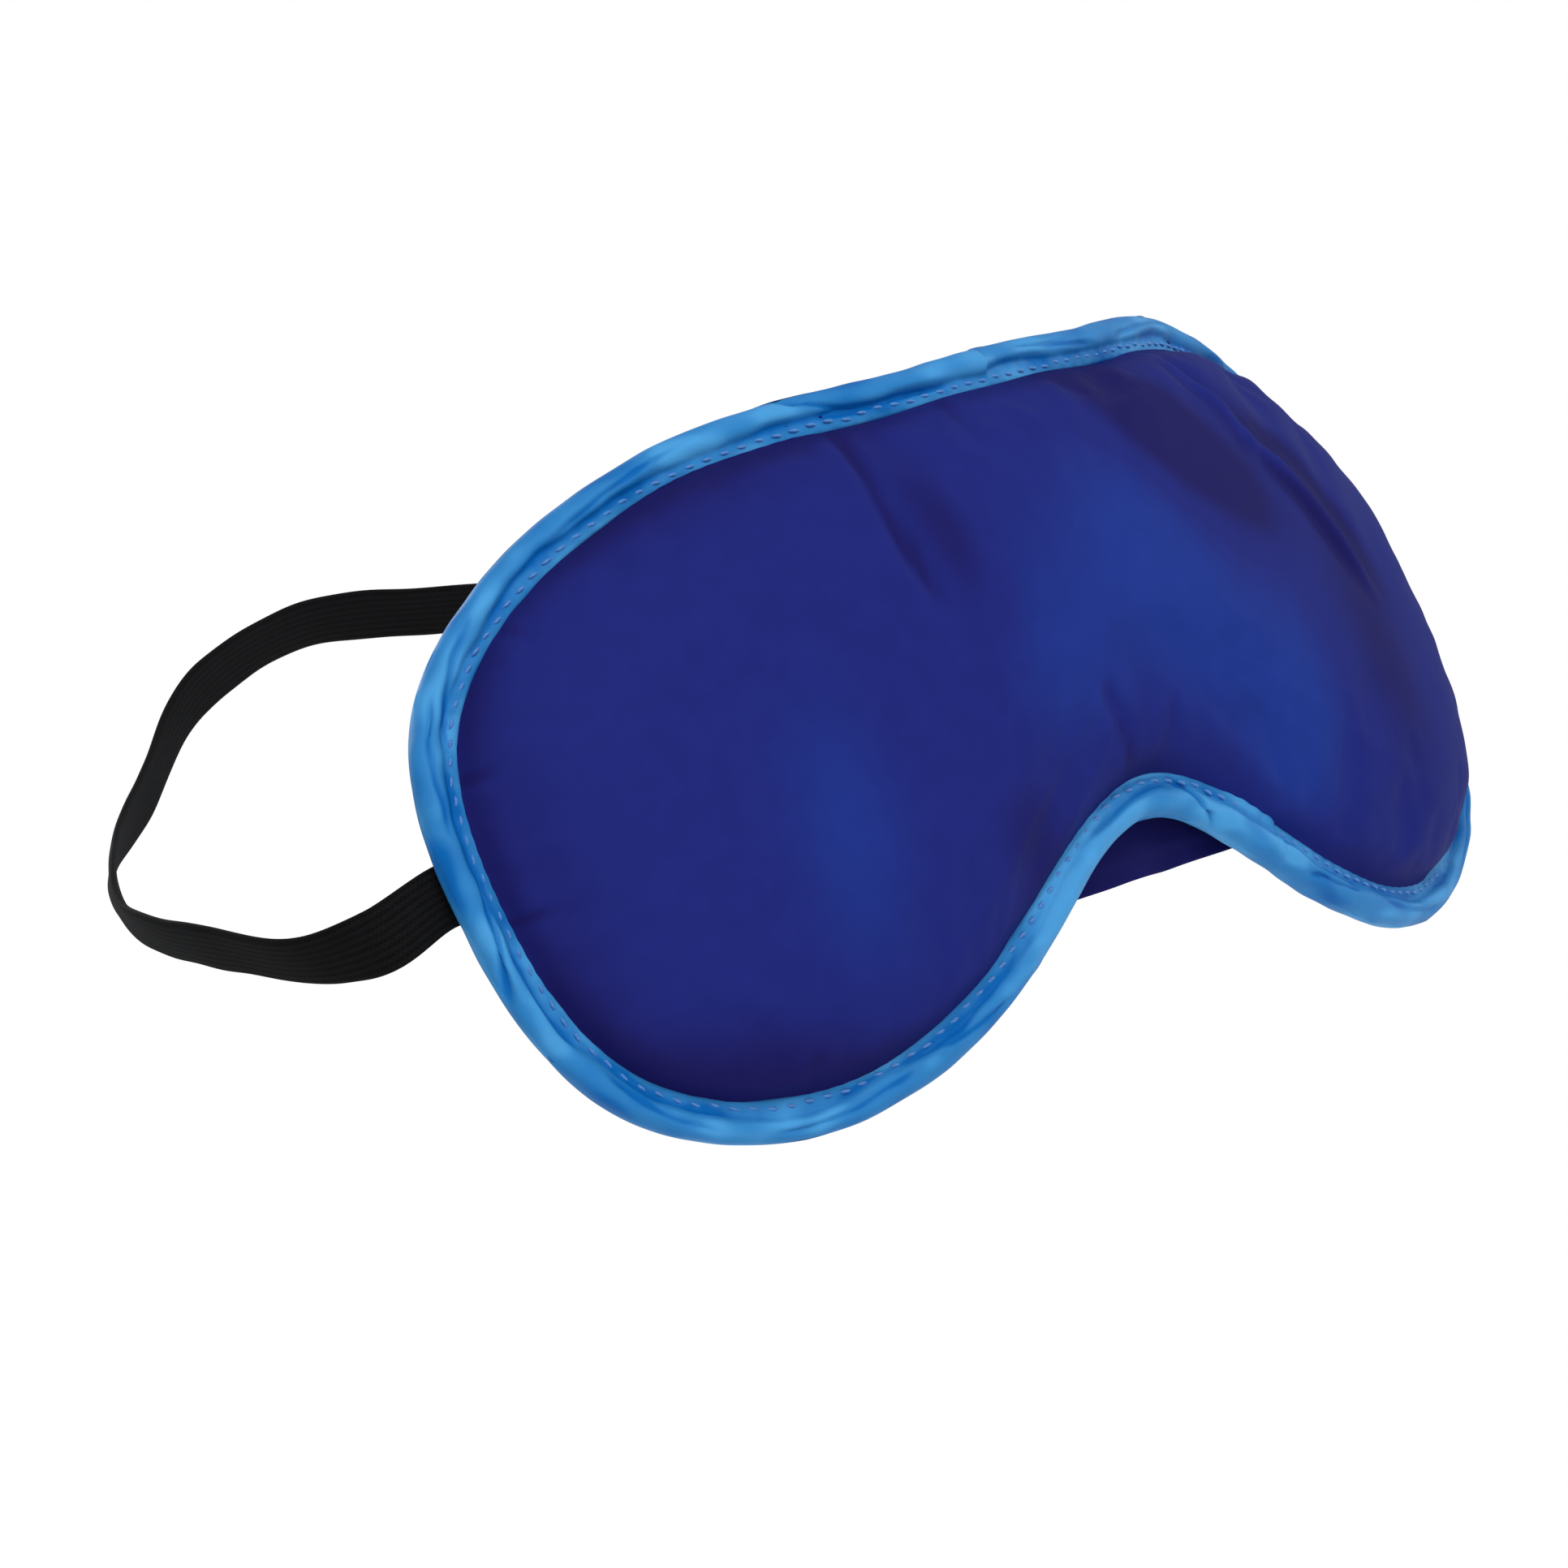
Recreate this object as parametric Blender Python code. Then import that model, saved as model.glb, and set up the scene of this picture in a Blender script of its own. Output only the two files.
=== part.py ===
"""Padded satin eye mask with an elastic head strap and a nose flap.

The mask stands as it is worn: +Z up, the front towards -Y, the wearer's head on the +Y side and
the bridge of the nose on X = 0. All lengths are metres.

Every sewn layer is laid out flat first, as (u, v): u runs along the mask from the bridge and v up
it. wrap() then bends the flat cloth round the face, with w as the distance out from the middle
layer towards the front.
"""

import math

import bmesh
import bpy
import numpy as np

# The mask laid flat
HALF_LENGTH = 0.0965  # bridge to tip
BROW_HEIGHT = 0.0453  # tip line up to the top edge
CHEEK_DEPTH = 0.0417  # tip line down to the lowest edge
NOTCH_APEX = -0.018  # top of the nose notch, from the tip line
POLE_HEIGHT = 0.014  # the point that the rings of cloth close on

# The half outline from the middle of the brow to the notch: shares of the half length, and of
# the brow height above the tip line or of the cheek depth below it
HALF_OUTLINE = (
    (0.24, 1.00),
    (0.50, 1.00),
    (0.76, 0.83),
    (0.94, 0.50),
    (0.99, 0.05),
    (0.95, -0.52),
    (0.80, -0.89),
    (0.56, -1.00),
    (0.32, -0.83),
    (0.135, -0.55),
)

# How it wraps the face: the cloth's heading at a share s of the half length is
# BRIDGE_TURN * s - TIP_EASE * s^3, and its top leans back by TIP_LEAN * s^2
BRIDGE_TURN = 0.97
TIP_EASE = 0.83
TIP_LEAN = 0.10

# Layers, from the middle out
GAP = 0.0003  # air between touching layers
CLOTH = 0.0004  # satin front and lining
FILL_RIM = 0.0006  # padding squeezed inside the binding
TAPE = 0.0005  # binding tape
FRONT_CROWN = 0.0110  # how far the padding lifts the front
BACK_CROWN = 0.0020  # how far it lifts the lining
FRONT_REACH = FRONT_CROWN * 26 / 11  # distance from the binding over which the front rises
BACK_REACH = 0.038  # the same for the lining
BINDING_WIDTH = 0.0054

# Sewing thread
THREAD = 0.0004
STITCH_INSET = 0.0042  # from the outer edge to the line of stitches
BACK_STITCH_INSET = 0.0036

# Nose flap, sewn to the lining over the notch
FLAP_WIDTH = 0.060
FLAP_TOP = 0.002
FLAP_BOTTOM = -0.025
FLAP_CLOTH = 0.0010  # folded double
FLAP_SEAM_HEIGHT = 0.0008

# Elastic strap
STRAP_WIDTH = 0.0082
STRAP_CLOTH = 0.0010
STRAP_HEIGHT = 0.001  # of its sewn ends, from the tip line
TAB_LENGTH = 0.011  # sewn flat to the back of each tip
TAB_CLEARANCE = 0.0012  # from a sewn end to the free strap, which turns beside it
TACK_LENGTH = 0.0070
TACK_WIDTH = 0.0012

# The strap's loop behind the head, from the left anchor to the right: its middle line's x as a
# share of the anchor's, its distance behind and above the anchors in metres, and the lean of its
# upper edge towards the inside of the loop in degrees
STRAP_ROUTE = (
    (-1.045, 0.0045, -0.0024, -8),
    (-1.066, 0.0115, -0.0020, -30),
    (-1.058, 0.0310, 0.0044, -30),
    (-0.987, 0.0515, 0.0114, -24),
    (-0.864, 0.0685, 0.0184, 5),
    (-0.703, 0.0840, 0.0254, 30),
    (-0.504, 0.0955, 0.0339, 25),
    (-0.284, 0.1020, 0.0459, 30),
    (-0.037, 0.1045, 0.0509, 46),
    (0.220, 0.1020, 0.0479, 48),
    (0.472, 0.0940, 0.0414, 42),
    (0.698, 0.0830, 0.0334, 30),
    (0.869, 0.0685, 0.0244, 18),
    (0.987, 0.0520, 0.0154, 10),
    (1.057, 0.0320, 0.0074, 4),
    (1.072, 0.0130, 0.0024, 0),
    (1.048, 0.0045, 0.0010, 0),
)

# Mesh density
AROUND = 64  # points round the outline
RINGS = 7  # rings of cloth from the pole to the rim
STRAP_STEPS = 48

STACK_HALF = FILL_RIM / 2 + GAP + CLOTH
CHANNEL_HALF = STACK_HALF + GAP
BINDING_HALF = CHANNEL_HALF + TAPE
FLAP_FRONT = -(STACK_HALF + BACK_CROWN + GAP)
STRAP_FRONT = -(BINDING_HALF + GAP + THREAD + GAP)

NAVY = (0.019, 0.026, 0.198, 1.0)
DEEP_NAVY = (0.014, 0.012, 0.080, 1.0)
SKY = (0.031, 0.205, 0.503, 1.0)
SKY_THREAD = (0.020, 0.140, 0.380, 1.0)
WADDING = (0.80, 0.80, 0.78, 1.0)
BLACK = (0.008, 0.008, 0.009, 1.0)


def clear_scene():
    """Removes the objects, meshes, materials and collections of the open file."""
    for obj in list(bpy.data.objects):
        bpy.data.objects.remove(obj)
    for group in (bpy.data.meshes, bpy.data.materials, bpy.data.collections):
        for item in list(group):
            group.remove(item)


def make_material(name, colour, roughness, metallic=0.0):
    """A Principled BSDF material with one colour."""
    material = bpy.data.materials.new(name)
    material.use_nodes = True
    shader = material.node_tree.nodes["Principled BSDF"]
    shader.inputs["Base Color"].default_value = colour
    shader.inputs["Roughness"].default_value = roughness
    shader.inputs["Metallic"].default_value = metallic
    return material


def closed_spline(points, count):
    """Count points, and unit tangents, of the smooth closed curve through the points given."""
    points = np.asarray(points, float)
    total = len(points)
    rows = np.eye(total) * 4 + np.roll(np.eye(total), 1, 1) + np.roll(np.eye(total), -1, 1)
    chords = 3 * (np.roll(points, -1, 0) - np.roll(points, 1, 0))
    slopes = np.linalg.solve(rows, chords)
    place = np.arange(count) * total / count
    start = np.floor(place).astype(int)
    end = (start + 1) % total
    t = (place - start)[:, None]
    curve = (
        points[start] * (2 * t**3 - 3 * t**2 + 1)
        + slopes[start] * (t**3 - 2 * t**2 + t)
        + points[end] * (3 * t**2 - 2 * t**3)
        + slopes[end] * (t**3 - t**2)
    )
    tangent = (
        points[start] * (6 * t**2 - 6 * t)
        + slopes[start] * (3 * t**2 - 4 * t + 1)
        + points[end] * (6 * t - 6 * t**2)
        + slopes[end] * (3 * t**2 - 2 * t)
    )
    return curve, tangent / np.linalg.norm(tangent, axis=1)[:, None]


def outline(inset, count=AROUND):
    """The mask's flat outline, clockwise from the middle of the brow, moved in by inset."""
    half = [
        (share * HALF_LENGTH, height * (BROW_HEIGHT if height > 0 else CHEEK_DEPTH))
        for share, height in HALF_OUTLINE
    ]
    other_half = [(-u, v) for u, v in reversed(half)]
    corners = [(0.0, BROW_HEIGHT)] + half + [(0.0, NOTCH_APEX)] + other_half
    curve, tangent = closed_spline(corners, count)
    inward = np.stack([tangent[:, 1], -tangent[:, 0]], 1)
    return curve + inward * inset


def wrap(u, v, w):
    """Bends flat points round the face, w out from the middle layer, and gives them in space."""
    u, v, w = np.broadcast_arrays(*(np.asarray(x, float) for x in (u, v, w)))
    steps = np.linspace(0, HALF_LENGTH * 1.1, 221)
    share = steps / HALF_LENGTH
    turn = BRIDGE_TURN * share - TIP_EASE * share**3
    middle = (turn[1:] + turn[:-1]) / 2
    stride = steps[1]
    along = np.concatenate([[0], np.cumsum(np.cos(middle) * stride)])
    back = np.concatenate([[0], np.cumsum(np.sin(middle) * stride)])
    reach = np.abs(u)
    side = np.sign(u)
    heading = np.interp(reach, steps, turn) * side
    lean = TIP_LEAN * (reach / HALF_LENGTH) ** 2
    out = w - np.sin(lean) * v
    x = np.interp(reach, steps, along) * side + np.sin(heading) * out
    y = np.interp(reach, steps, back) - np.cos(heading) * out
    return np.stack([x, y, np.cos(lean) * v], -1)


def rise(points, reach):
    """How far the padding has risen at flat points, 0 at the binding to 1 at reach from it."""
    edge = outline(BINDING_WIDTH, 4 * AROUND)
    apart = np.linalg.norm(points[:, None, :] - edge[None, :, :], axis=2).min(1)
    short = np.clip(1 - apart / reach, 0, 1)
    return np.sqrt(1 - short**2)


def add_object(name, mesh, material, collection, pivot=(0.0, 0.0, 0.0)):
    """Puts a mesh made in space into the collection, with its origin at pivot."""
    obj = bpy.data.objects.new(name, mesh)
    collection.objects.link(obj)
    offset = np.asarray(pivot, float)
    for vertex in mesh.vertices:
        vertex.co = [c - o for c, o in zip(vertex.co, offset)]
    obj.location = pivot
    mesh.materials.append(material)
    return obj


def face_outwards(build):
    """Turns every face outwards, and the whole body if its signed volume shows it inside out."""
    bmesh.ops.recalc_face_normals(build, faces=build.faces)
    if build.calc_volume(signed=True) < 0:
        bmesh.ops.reverse_faces(build, faces=build.faces)


def quilted_layer(name, front, back):
    """A closed layer of the mask between two faces: each a rim height, a crown and its reach.

    A sphere's rings are laid on the flat outline: the ring next to the equator is the rim inside
    the binding, the next is where the binding ends, and the rest close on the pole.
    """
    build = bmesh.new()
    bands = 2 * RINGS + 1
    bmesh.ops.create_uvsphere(build, u_segments=AROUND, v_segments=bands, radius=1)
    pole = np.array([0.0, POLE_HEIGHT])
    rim = outline(TAPE + GAP)
    inner = outline(BINDING_WIDTH + GAP)
    for vertex in build.verts:
        level = round(math.acos(max(-1.0, min(1.0, vertex.co.z))) / math.pi * bands)
        column = round(math.atan2(vertex.co.y, vertex.co.x) / math.tau * AROUND) % AROUND
        on_front = level <= RINGS
        ring = level if on_front else bands - level
        rim_height, crown, reach = front if on_front else back
        if ring == RINGS:
            flat = rim[column]
            lift = 0.0
        else:
            share = math.sin(math.pi / 2 * ring / (RINGS - 1))
            flat = pole + share * (inner[column] - pole)
            lift = float(rise(flat[None, :], reach)[0]) if ring < RINGS - 1 else 0.0
        vertex.co = wrap(flat[0], flat[1], rim_height + crown * lift)
    face_outwards(build)
    mesh = bpy.data.meshes.new(name)
    build.to_mesh(mesh)
    build.free()
    return mesh


def loft(name, sections, closed):
    """A body through sections of equal point count, joined into a ring or capped at both ends."""
    sections = np.asarray(sections)
    rings, corners = sections.shape[:2]
    build = bmesh.new()
    grid = [[build.verts.new(point) for point in ring] for ring in sections]
    for a in range(rings if closed else rings - 1):
        near, far = grid[a], grid[(a + 1) % rings]
        for b in range(corners):
            c = (b + 1) % corners
            build.faces.new((near[b], near[c], far[c], far[b]))
    if not closed:
        build.faces.new(grid[0])
        build.faces.new(grid[-1])
    face_outwards(build)
    bmesh.ops.triangulate(build, faces=build.faces)
    mesh = bpy.data.meshes.new(name)
    build.to_mesh(mesh)
    build.free()
    return mesh


def binding_mesh(name):
    """The folded tape round the edge: a U with rounded corners, open towards the cloth."""
    corner = TAPE * 1.4
    profile = (
        (BINDING_WIDTH, BINDING_HALF),
        (corner, BINDING_HALF),
        (0.0, BINDING_HALF - corner),
        (0.0, corner - BINDING_HALF),
        (corner, -BINDING_HALF),
        (BINDING_WIDTH, -BINDING_HALF),
        (BINDING_WIDTH, -CHANNEL_HALF),
        (TAPE, -CHANNEL_HALF),
        (TAPE, CHANNEL_HALF),
        (BINDING_WIDTH, CHANNEL_HALF),
    )
    edges = [outline(inset) for inset, _ in profile]
    sections = np.stack(
        [wrap(edge[:, 0], edge[:, 1], w) for edge, (_, w) in zip(edges, profile)], 1
    )
    return loft(name, sections, closed=True)


def stitch_ring(name, inset, bottom, top):
    """A thread laid round the binding, between two heights."""
    profile = (
        (inset - THREAD / 2, bottom),
        (inset + THREAD / 2, bottom),
        (inset + THREAD / 2, top),
        (inset - THREAD / 2, top),
    )
    edges = [outline(reach) for reach, _ in profile]
    sections = np.stack(
        [wrap(edge[:, 0], edge[:, 1], w) for edge, (_, w) in zip(edges, profile)], 1
    )
    return loft(name, sections, closed=True)


def sewn_slab(name, span, heights, depths, steps):
    """A slab that follows the mask: u over span, v over heights and w over depths."""
    low, high = heights
    near, far = depths
    columns = np.linspace(span[0], span[1], steps + 1)
    corners = ((low, near), (low, far), (high, far), (high, near))
    sections = np.stack([wrap(columns, v, w) for v, w in corners], 1)
    return loft(name, sections, closed=False)


def strap_start(side):
    """Where the free strap begins, just past its sewn end at one tip: side is -1 or 1."""
    middle = STRAP_FRONT - STRAP_CLOTH / 2
    return wrap(side * (HALF_LENGTH + TAB_CLEARANCE), STRAP_HEIGHT, middle)


def strap_mesh(name):
    """The free loop of elastic: a flat section carried along its route."""
    lean = [0.0] + [math.radians(point[3]) for point in STRAP_ROUTE] + [0.0]
    start, end = strap_start(-1), strap_start(1)
    middle = [
        (end[0] * share, end[1] + behind, end[2] + above)
        for share, behind, above, _ in STRAP_ROUTE
    ]
    route = np.vstack([start, middle, end])
    lengths = np.linalg.norm(np.diff(route, axis=0), axis=1)
    place = np.concatenate([[0], np.cumsum(lengths)])
    slopes = np.gradient(route, place, axis=0)
    at = np.linspace(0, place[-1], STRAP_STEPS + 1)
    span = np.clip(np.searchsorted(place, at, side="right") - 1, 0, len(lengths) - 1)
    size = lengths[span][:, None]
    t = ((at - place[span]) / lengths[span])[:, None]
    points = (
        route[span] * (2 * t**3 - 3 * t**2 + 1)
        + slopes[span] * size * (t**3 - 2 * t**2 + t)
        + route[span + 1] * (3 * t**2 - 2 * t**3)
        + slopes[span + 1] * size * (t**3 - t**2)
    )
    ahead = np.gradient(points, axis=0)
    ahead /= np.linalg.norm(ahead, axis=1)[:, None]
    upright = np.array([0.0, 0.0, 1.0]) - ahead * ahead[:, 2:3]
    upright /= np.linalg.norm(upright, axis=1)[:, None]
    inside = np.cross(ahead, upright)
    angle = np.interp(at, place, lean)[:, None]
    across = upright * np.cos(angle) + inside * np.sin(angle)
    through = np.cross(ahead, across)
    half_width = across * STRAP_WIDTH / 2
    half_cloth = through * STRAP_CLOTH / 2
    sections = np.stack(
        [
            points - half_width - half_cloth,
            points + half_width - half_cloth,
            points + half_width + half_cloth,
            points - half_width + half_cloth,
        ],
        1,
    )
    return loft(name, sections, closed=False)


def main():
    """Builds every piece of the mask."""
    clear_scene()
    collection = bpy.data.collections.new("eye_mask")
    bpy.context.scene.collection.children.link(collection)

    satin = make_material("front_satin", NAVY, 0.38)
    add_object(
        "front_panel",
        quilted_layer(
            "front_panel",
            (STACK_HALF, FRONT_CROWN, FRONT_REACH),
            (STACK_HALF - CLOTH, FRONT_CROWN, FRONT_REACH),
        ),
        satin,
        collection,
    )
    wadding = make_material("polyester_wadding", WADDING, 0.95)
    add_object(
        "padding",
        quilted_layer(
            "padding",
            (FILL_RIM / 2, FRONT_CROWN, FRONT_REACH),
            (-FILL_RIM / 2, -BACK_CROWN, BACK_REACH),
        ),
        wadding,
        collection,
    )
    lining = make_material("lining_satin", NAVY, 0.45)
    add_object(
        "back_lining",
        quilted_layer(
            "back_lining",
            (CLOTH - STACK_HALF, -BACK_CROWN, BACK_REACH),
            (-STACK_HALF, -BACK_CROWN, BACK_REACH),
        ),
        lining,
        collection,
    )
    tape = make_material("binding_satin", SKY, 0.40)
    add_object("edge_binding", binding_mesh("edge_binding"), tape, collection)

    thread = make_material("binding_thread", SKY_THREAD, 0.55)
    lift = BINDING_HALF + GAP
    add_object(
        "binding_topstitch",
        stitch_ring("binding_topstitch", STITCH_INSET, lift, lift + THREAD),
        thread,
        collection,
    )
    add_object(
        "binding_backstitch",
        stitch_ring("binding_backstitch", BACK_STITCH_INSET, -lift - THREAD, -lift),
        make_material("bobbin_thread", SKY_THREAD, 0.55),
        collection,
    )

    half_flap = FLAP_WIDTH / 2
    flap_back = FLAP_FRONT - FLAP_CLOTH
    hinge = wrap(half_flap, FLAP_TOP, flap_back)
    add_object(
        "nose_flap",
        sewn_slab(
            "nose_flap",
            (-half_flap, half_flap),
            (FLAP_BOTTOM, FLAP_TOP),
            (flap_back, FLAP_FRONT),
            16,
        ),
        make_material("flap_satin", DEEP_NAVY, 0.45),
        collection,
        pivot=(0.0, float(hinge[1]), float(hinge[2])),
    )
    seam_low = FLAP_TOP + GAP
    add_object(
        "nose_flap_seam",
        sewn_slab(
            "nose_flap_seam",
            (-half_flap, half_flap),
            (seam_low, seam_low + FLAP_SEAM_HEIGHT),
            (FLAP_FRONT - THREAD, FLAP_FRONT),
            16,
        ),
        make_material("seam_thread", DEEP_NAVY, 0.6),
        collection,
    )

    anchor = strap_start(1)
    add_object(
        "elastic_strap",
        strap_mesh("elastic_strap"),
        make_material("strap_elastic", BLACK, 0.75),
        collection,
        pivot=(0.0, float(anchor[1]), float(anchor[2])),
    )
    strap_back = STRAP_FRONT - STRAP_CLOTH
    half_strap = STRAP_WIDTH / 2
    for side, label in ((-1, "left"), (1, "right")):
        name = f"strap_end_{label}"
        add_object(
            name,
            sewn_slab(
                name,
                (side * (HALF_LENGTH - TAB_LENGTH), side * HALF_LENGTH),
                (STRAP_HEIGHT - half_strap, STRAP_HEIGHT + half_strap),
                (strap_back, STRAP_FRONT),
                3,
            ),
            make_material(f"{name}_elastic", BLACK, 0.75),
            collection,
        )
        name = f"strap_tack_{label}"
        outer = side * (HALF_LENGTH - BACK_STITCH_INSET - TACK_WIDTH)
        add_object(
            name,
            sewn_slab(
                name,
                (outer - side * TACK_WIDTH, outer),
                (STRAP_HEIGHT - TACK_LENGTH / 2, STRAP_HEIGHT + TACK_LENGTH / 2),
                (strap_back - GAP - THREAD, strap_back - GAP),
                1,
            ),
            make_material(f"{name}_thread", DEEP_NAVY, 0.6),
            collection,
        )


main()
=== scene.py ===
"""Padded satin eye mask with a bound edge, a nose flap and an elastic head strap.

Every sewn piece is laid out on the mask's flat pattern first, as (u, v): u runs along the mask
from the bridge of the nose and v up it, in metres. MaskPattern.wrap bends the flat cloth round
the face, and each visible piece is a surface of two parameters on top of that.
"""

from __future__ import annotations

import logging
import math
from dataclasses import dataclass, field
from enum import Enum

import bpy
import numpy as np
from mathutils import Matrix


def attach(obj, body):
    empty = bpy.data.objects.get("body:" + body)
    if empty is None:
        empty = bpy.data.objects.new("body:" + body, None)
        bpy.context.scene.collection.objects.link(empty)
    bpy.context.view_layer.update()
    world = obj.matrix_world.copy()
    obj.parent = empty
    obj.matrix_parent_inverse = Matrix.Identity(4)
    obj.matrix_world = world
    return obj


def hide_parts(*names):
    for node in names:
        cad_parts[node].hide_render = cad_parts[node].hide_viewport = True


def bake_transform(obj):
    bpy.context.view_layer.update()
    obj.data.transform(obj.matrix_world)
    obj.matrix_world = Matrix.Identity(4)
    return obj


LOG = logging.getLogger("eye_mask")

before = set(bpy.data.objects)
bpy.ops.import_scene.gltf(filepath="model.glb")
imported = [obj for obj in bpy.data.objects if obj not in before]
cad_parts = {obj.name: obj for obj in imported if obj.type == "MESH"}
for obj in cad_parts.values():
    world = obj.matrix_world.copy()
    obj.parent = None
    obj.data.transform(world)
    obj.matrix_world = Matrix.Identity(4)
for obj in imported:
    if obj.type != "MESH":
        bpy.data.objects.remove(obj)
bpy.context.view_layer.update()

Colour = tuple[float, float, float]
Point = tuple[float, float, float]


# ---------------------------------------------------------------- small numeric helpers


def smooth_step(low: float, high: float, x: np.ndarray) -> np.ndarray:
    """Eases the values x from 0 at low to 1 at high: t * t * (3 - 2t)."""
    t = np.clip((np.asarray(x, float) - low) / (high - low), 0.0, 1.0)
    return t * t * (3.0 - 2.0 * t)


def bell(x: np.ndarray, width: float) -> np.ndarray:
    """A bell curve of x: exp(-(x / width)^2)."""
    return np.exp(-((np.asarray(x, float) / width) ** 2))


def unit(vectors: np.ndarray) -> np.ndarray:
    """The vectors along the last axis at length 1."""
    return vectors / np.maximum(np.linalg.norm(vectors, axis=-1, keepdims=True), 1e-12)


def run_lengths(line: np.ndarray) -> np.ndarray:
    """Distance along a line of points, one a row, from 0 at the first."""
    return np.concatenate([[0.0], np.cumsum(np.linalg.norm(np.diff(line, axis=0), axis=1))])


def ripples(
    x: np.ndarray, y: np.ndarray, wave: float, seed: int, count: int = 5, slant: float = 0.5
) -> np.ndarray:
    """Irregular wrinkles: a sum of sine waves of about one wavelength with fixed random phases.

    Args:
        x: Place along the cloth.
        y: Place across it.
        wave: The middle wavelength.
        seed: Chooses the phases.
        count: How many waves are summed.
        slant: How far the waves may lean from straight across.

    Returns:
        Heights from about -1 to 1.
    """
    chance = np.random.default_rng(seed)
    total = np.zeros(np.broadcast(x, y).shape)
    for _ in range(count):
        length = wave * chance.uniform(0.6, 1.7)
        lean = chance.uniform(-slant, slant)
        phase = chance.uniform(0.0, math.tau)
        total += np.sin(math.tau * (x + lean * y) / length + phase)
    return total / math.sqrt(count)


def hermite(t: np.ndarray) -> tuple[np.ndarray, np.ndarray, np.ndarray, np.ndarray]:
    """A cubic span's weights at shares t: of its start, start slope, end and end slope."""
    return 2 * t**3 - 3 * t**2 + 1, t**3 - 2 * t**2 + t, 3 * t**2 - 2 * t**3, t**3 - t**2


def periodic_spline(knots: np.ndarray, place: np.ndarray) -> tuple[np.ndarray, np.ndarray]:
    """Points and unit tangents of the smooth closed curve through knots.

    The slopes at the knots solve the periodic cubic spline's equations, and each span is the
    Hermite cubic between its two knots.

    Args:
        knots: The points that the curve passes, one a row.
        place: Where to read it, in knots from the first.

    Returns:
        The points and the unit tangents.
    """
    total = len(knots)
    rows = np.eye(total) * 4 + np.roll(np.eye(total), 1, 1) + np.roll(np.eye(total), -1, 1)
    slopes = np.linalg.solve(rows, 3 * (np.roll(knots, -1, 0) - np.roll(knots, 1, 0)))
    place = np.mod(np.asarray(place, float), total)
    start = np.floor(place).astype(int) % total
    end = (start + 1) % total
    t = (place - np.floor(place))[..., None]
    a, b, c, d = hermite(t)
    curve = knots[start] * a + slopes[start] * b + knots[end] * c + slopes[end] * d
    tangent = (
        knots[start] * (6 * t**2 - 6 * t)
        + slopes[start] * (3 * t**2 - 4 * t + 1)
        + knots[end] * (6 * t - 6 * t**2)
        + slopes[end] * (3 * t**2 - 2 * t)
    )
    return curve, unit(tangent)


def open_spline(knots: np.ndarray, at: np.ndarray) -> np.ndarray:
    """Points of the smooth open curve through knots, by distance along their chords.

    Args:
        knots: The points that the curve passes, one a row, with any number of columns.
        at: Where to read it, as shares of its length from 0 to 1.

    Returns:
        One row for each place.
    """
    place = run_lengths(knots[:, :3])
    lengths = np.linalg.norm(np.diff(knots[:, :3], axis=0), axis=1)
    slopes = np.gradient(knots, place, axis=0)
    at = np.clip(np.asarray(at, float), 0.0, 1.0) * place[-1]
    span = np.clip(np.searchsorted(place, at, side="right") - 1, 0, len(lengths) - 1)
    size = lengths[span][:, None]
    a, b, c, d = hermite(((at - place[span]) / lengths[span])[:, None])
    begin = knots[span] * a + slopes[span] * size * b
    return begin + knots[span + 1] * c + slopes[span + 1] * size * d


# ---------------------------------------------------------------- the pattern


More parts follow.
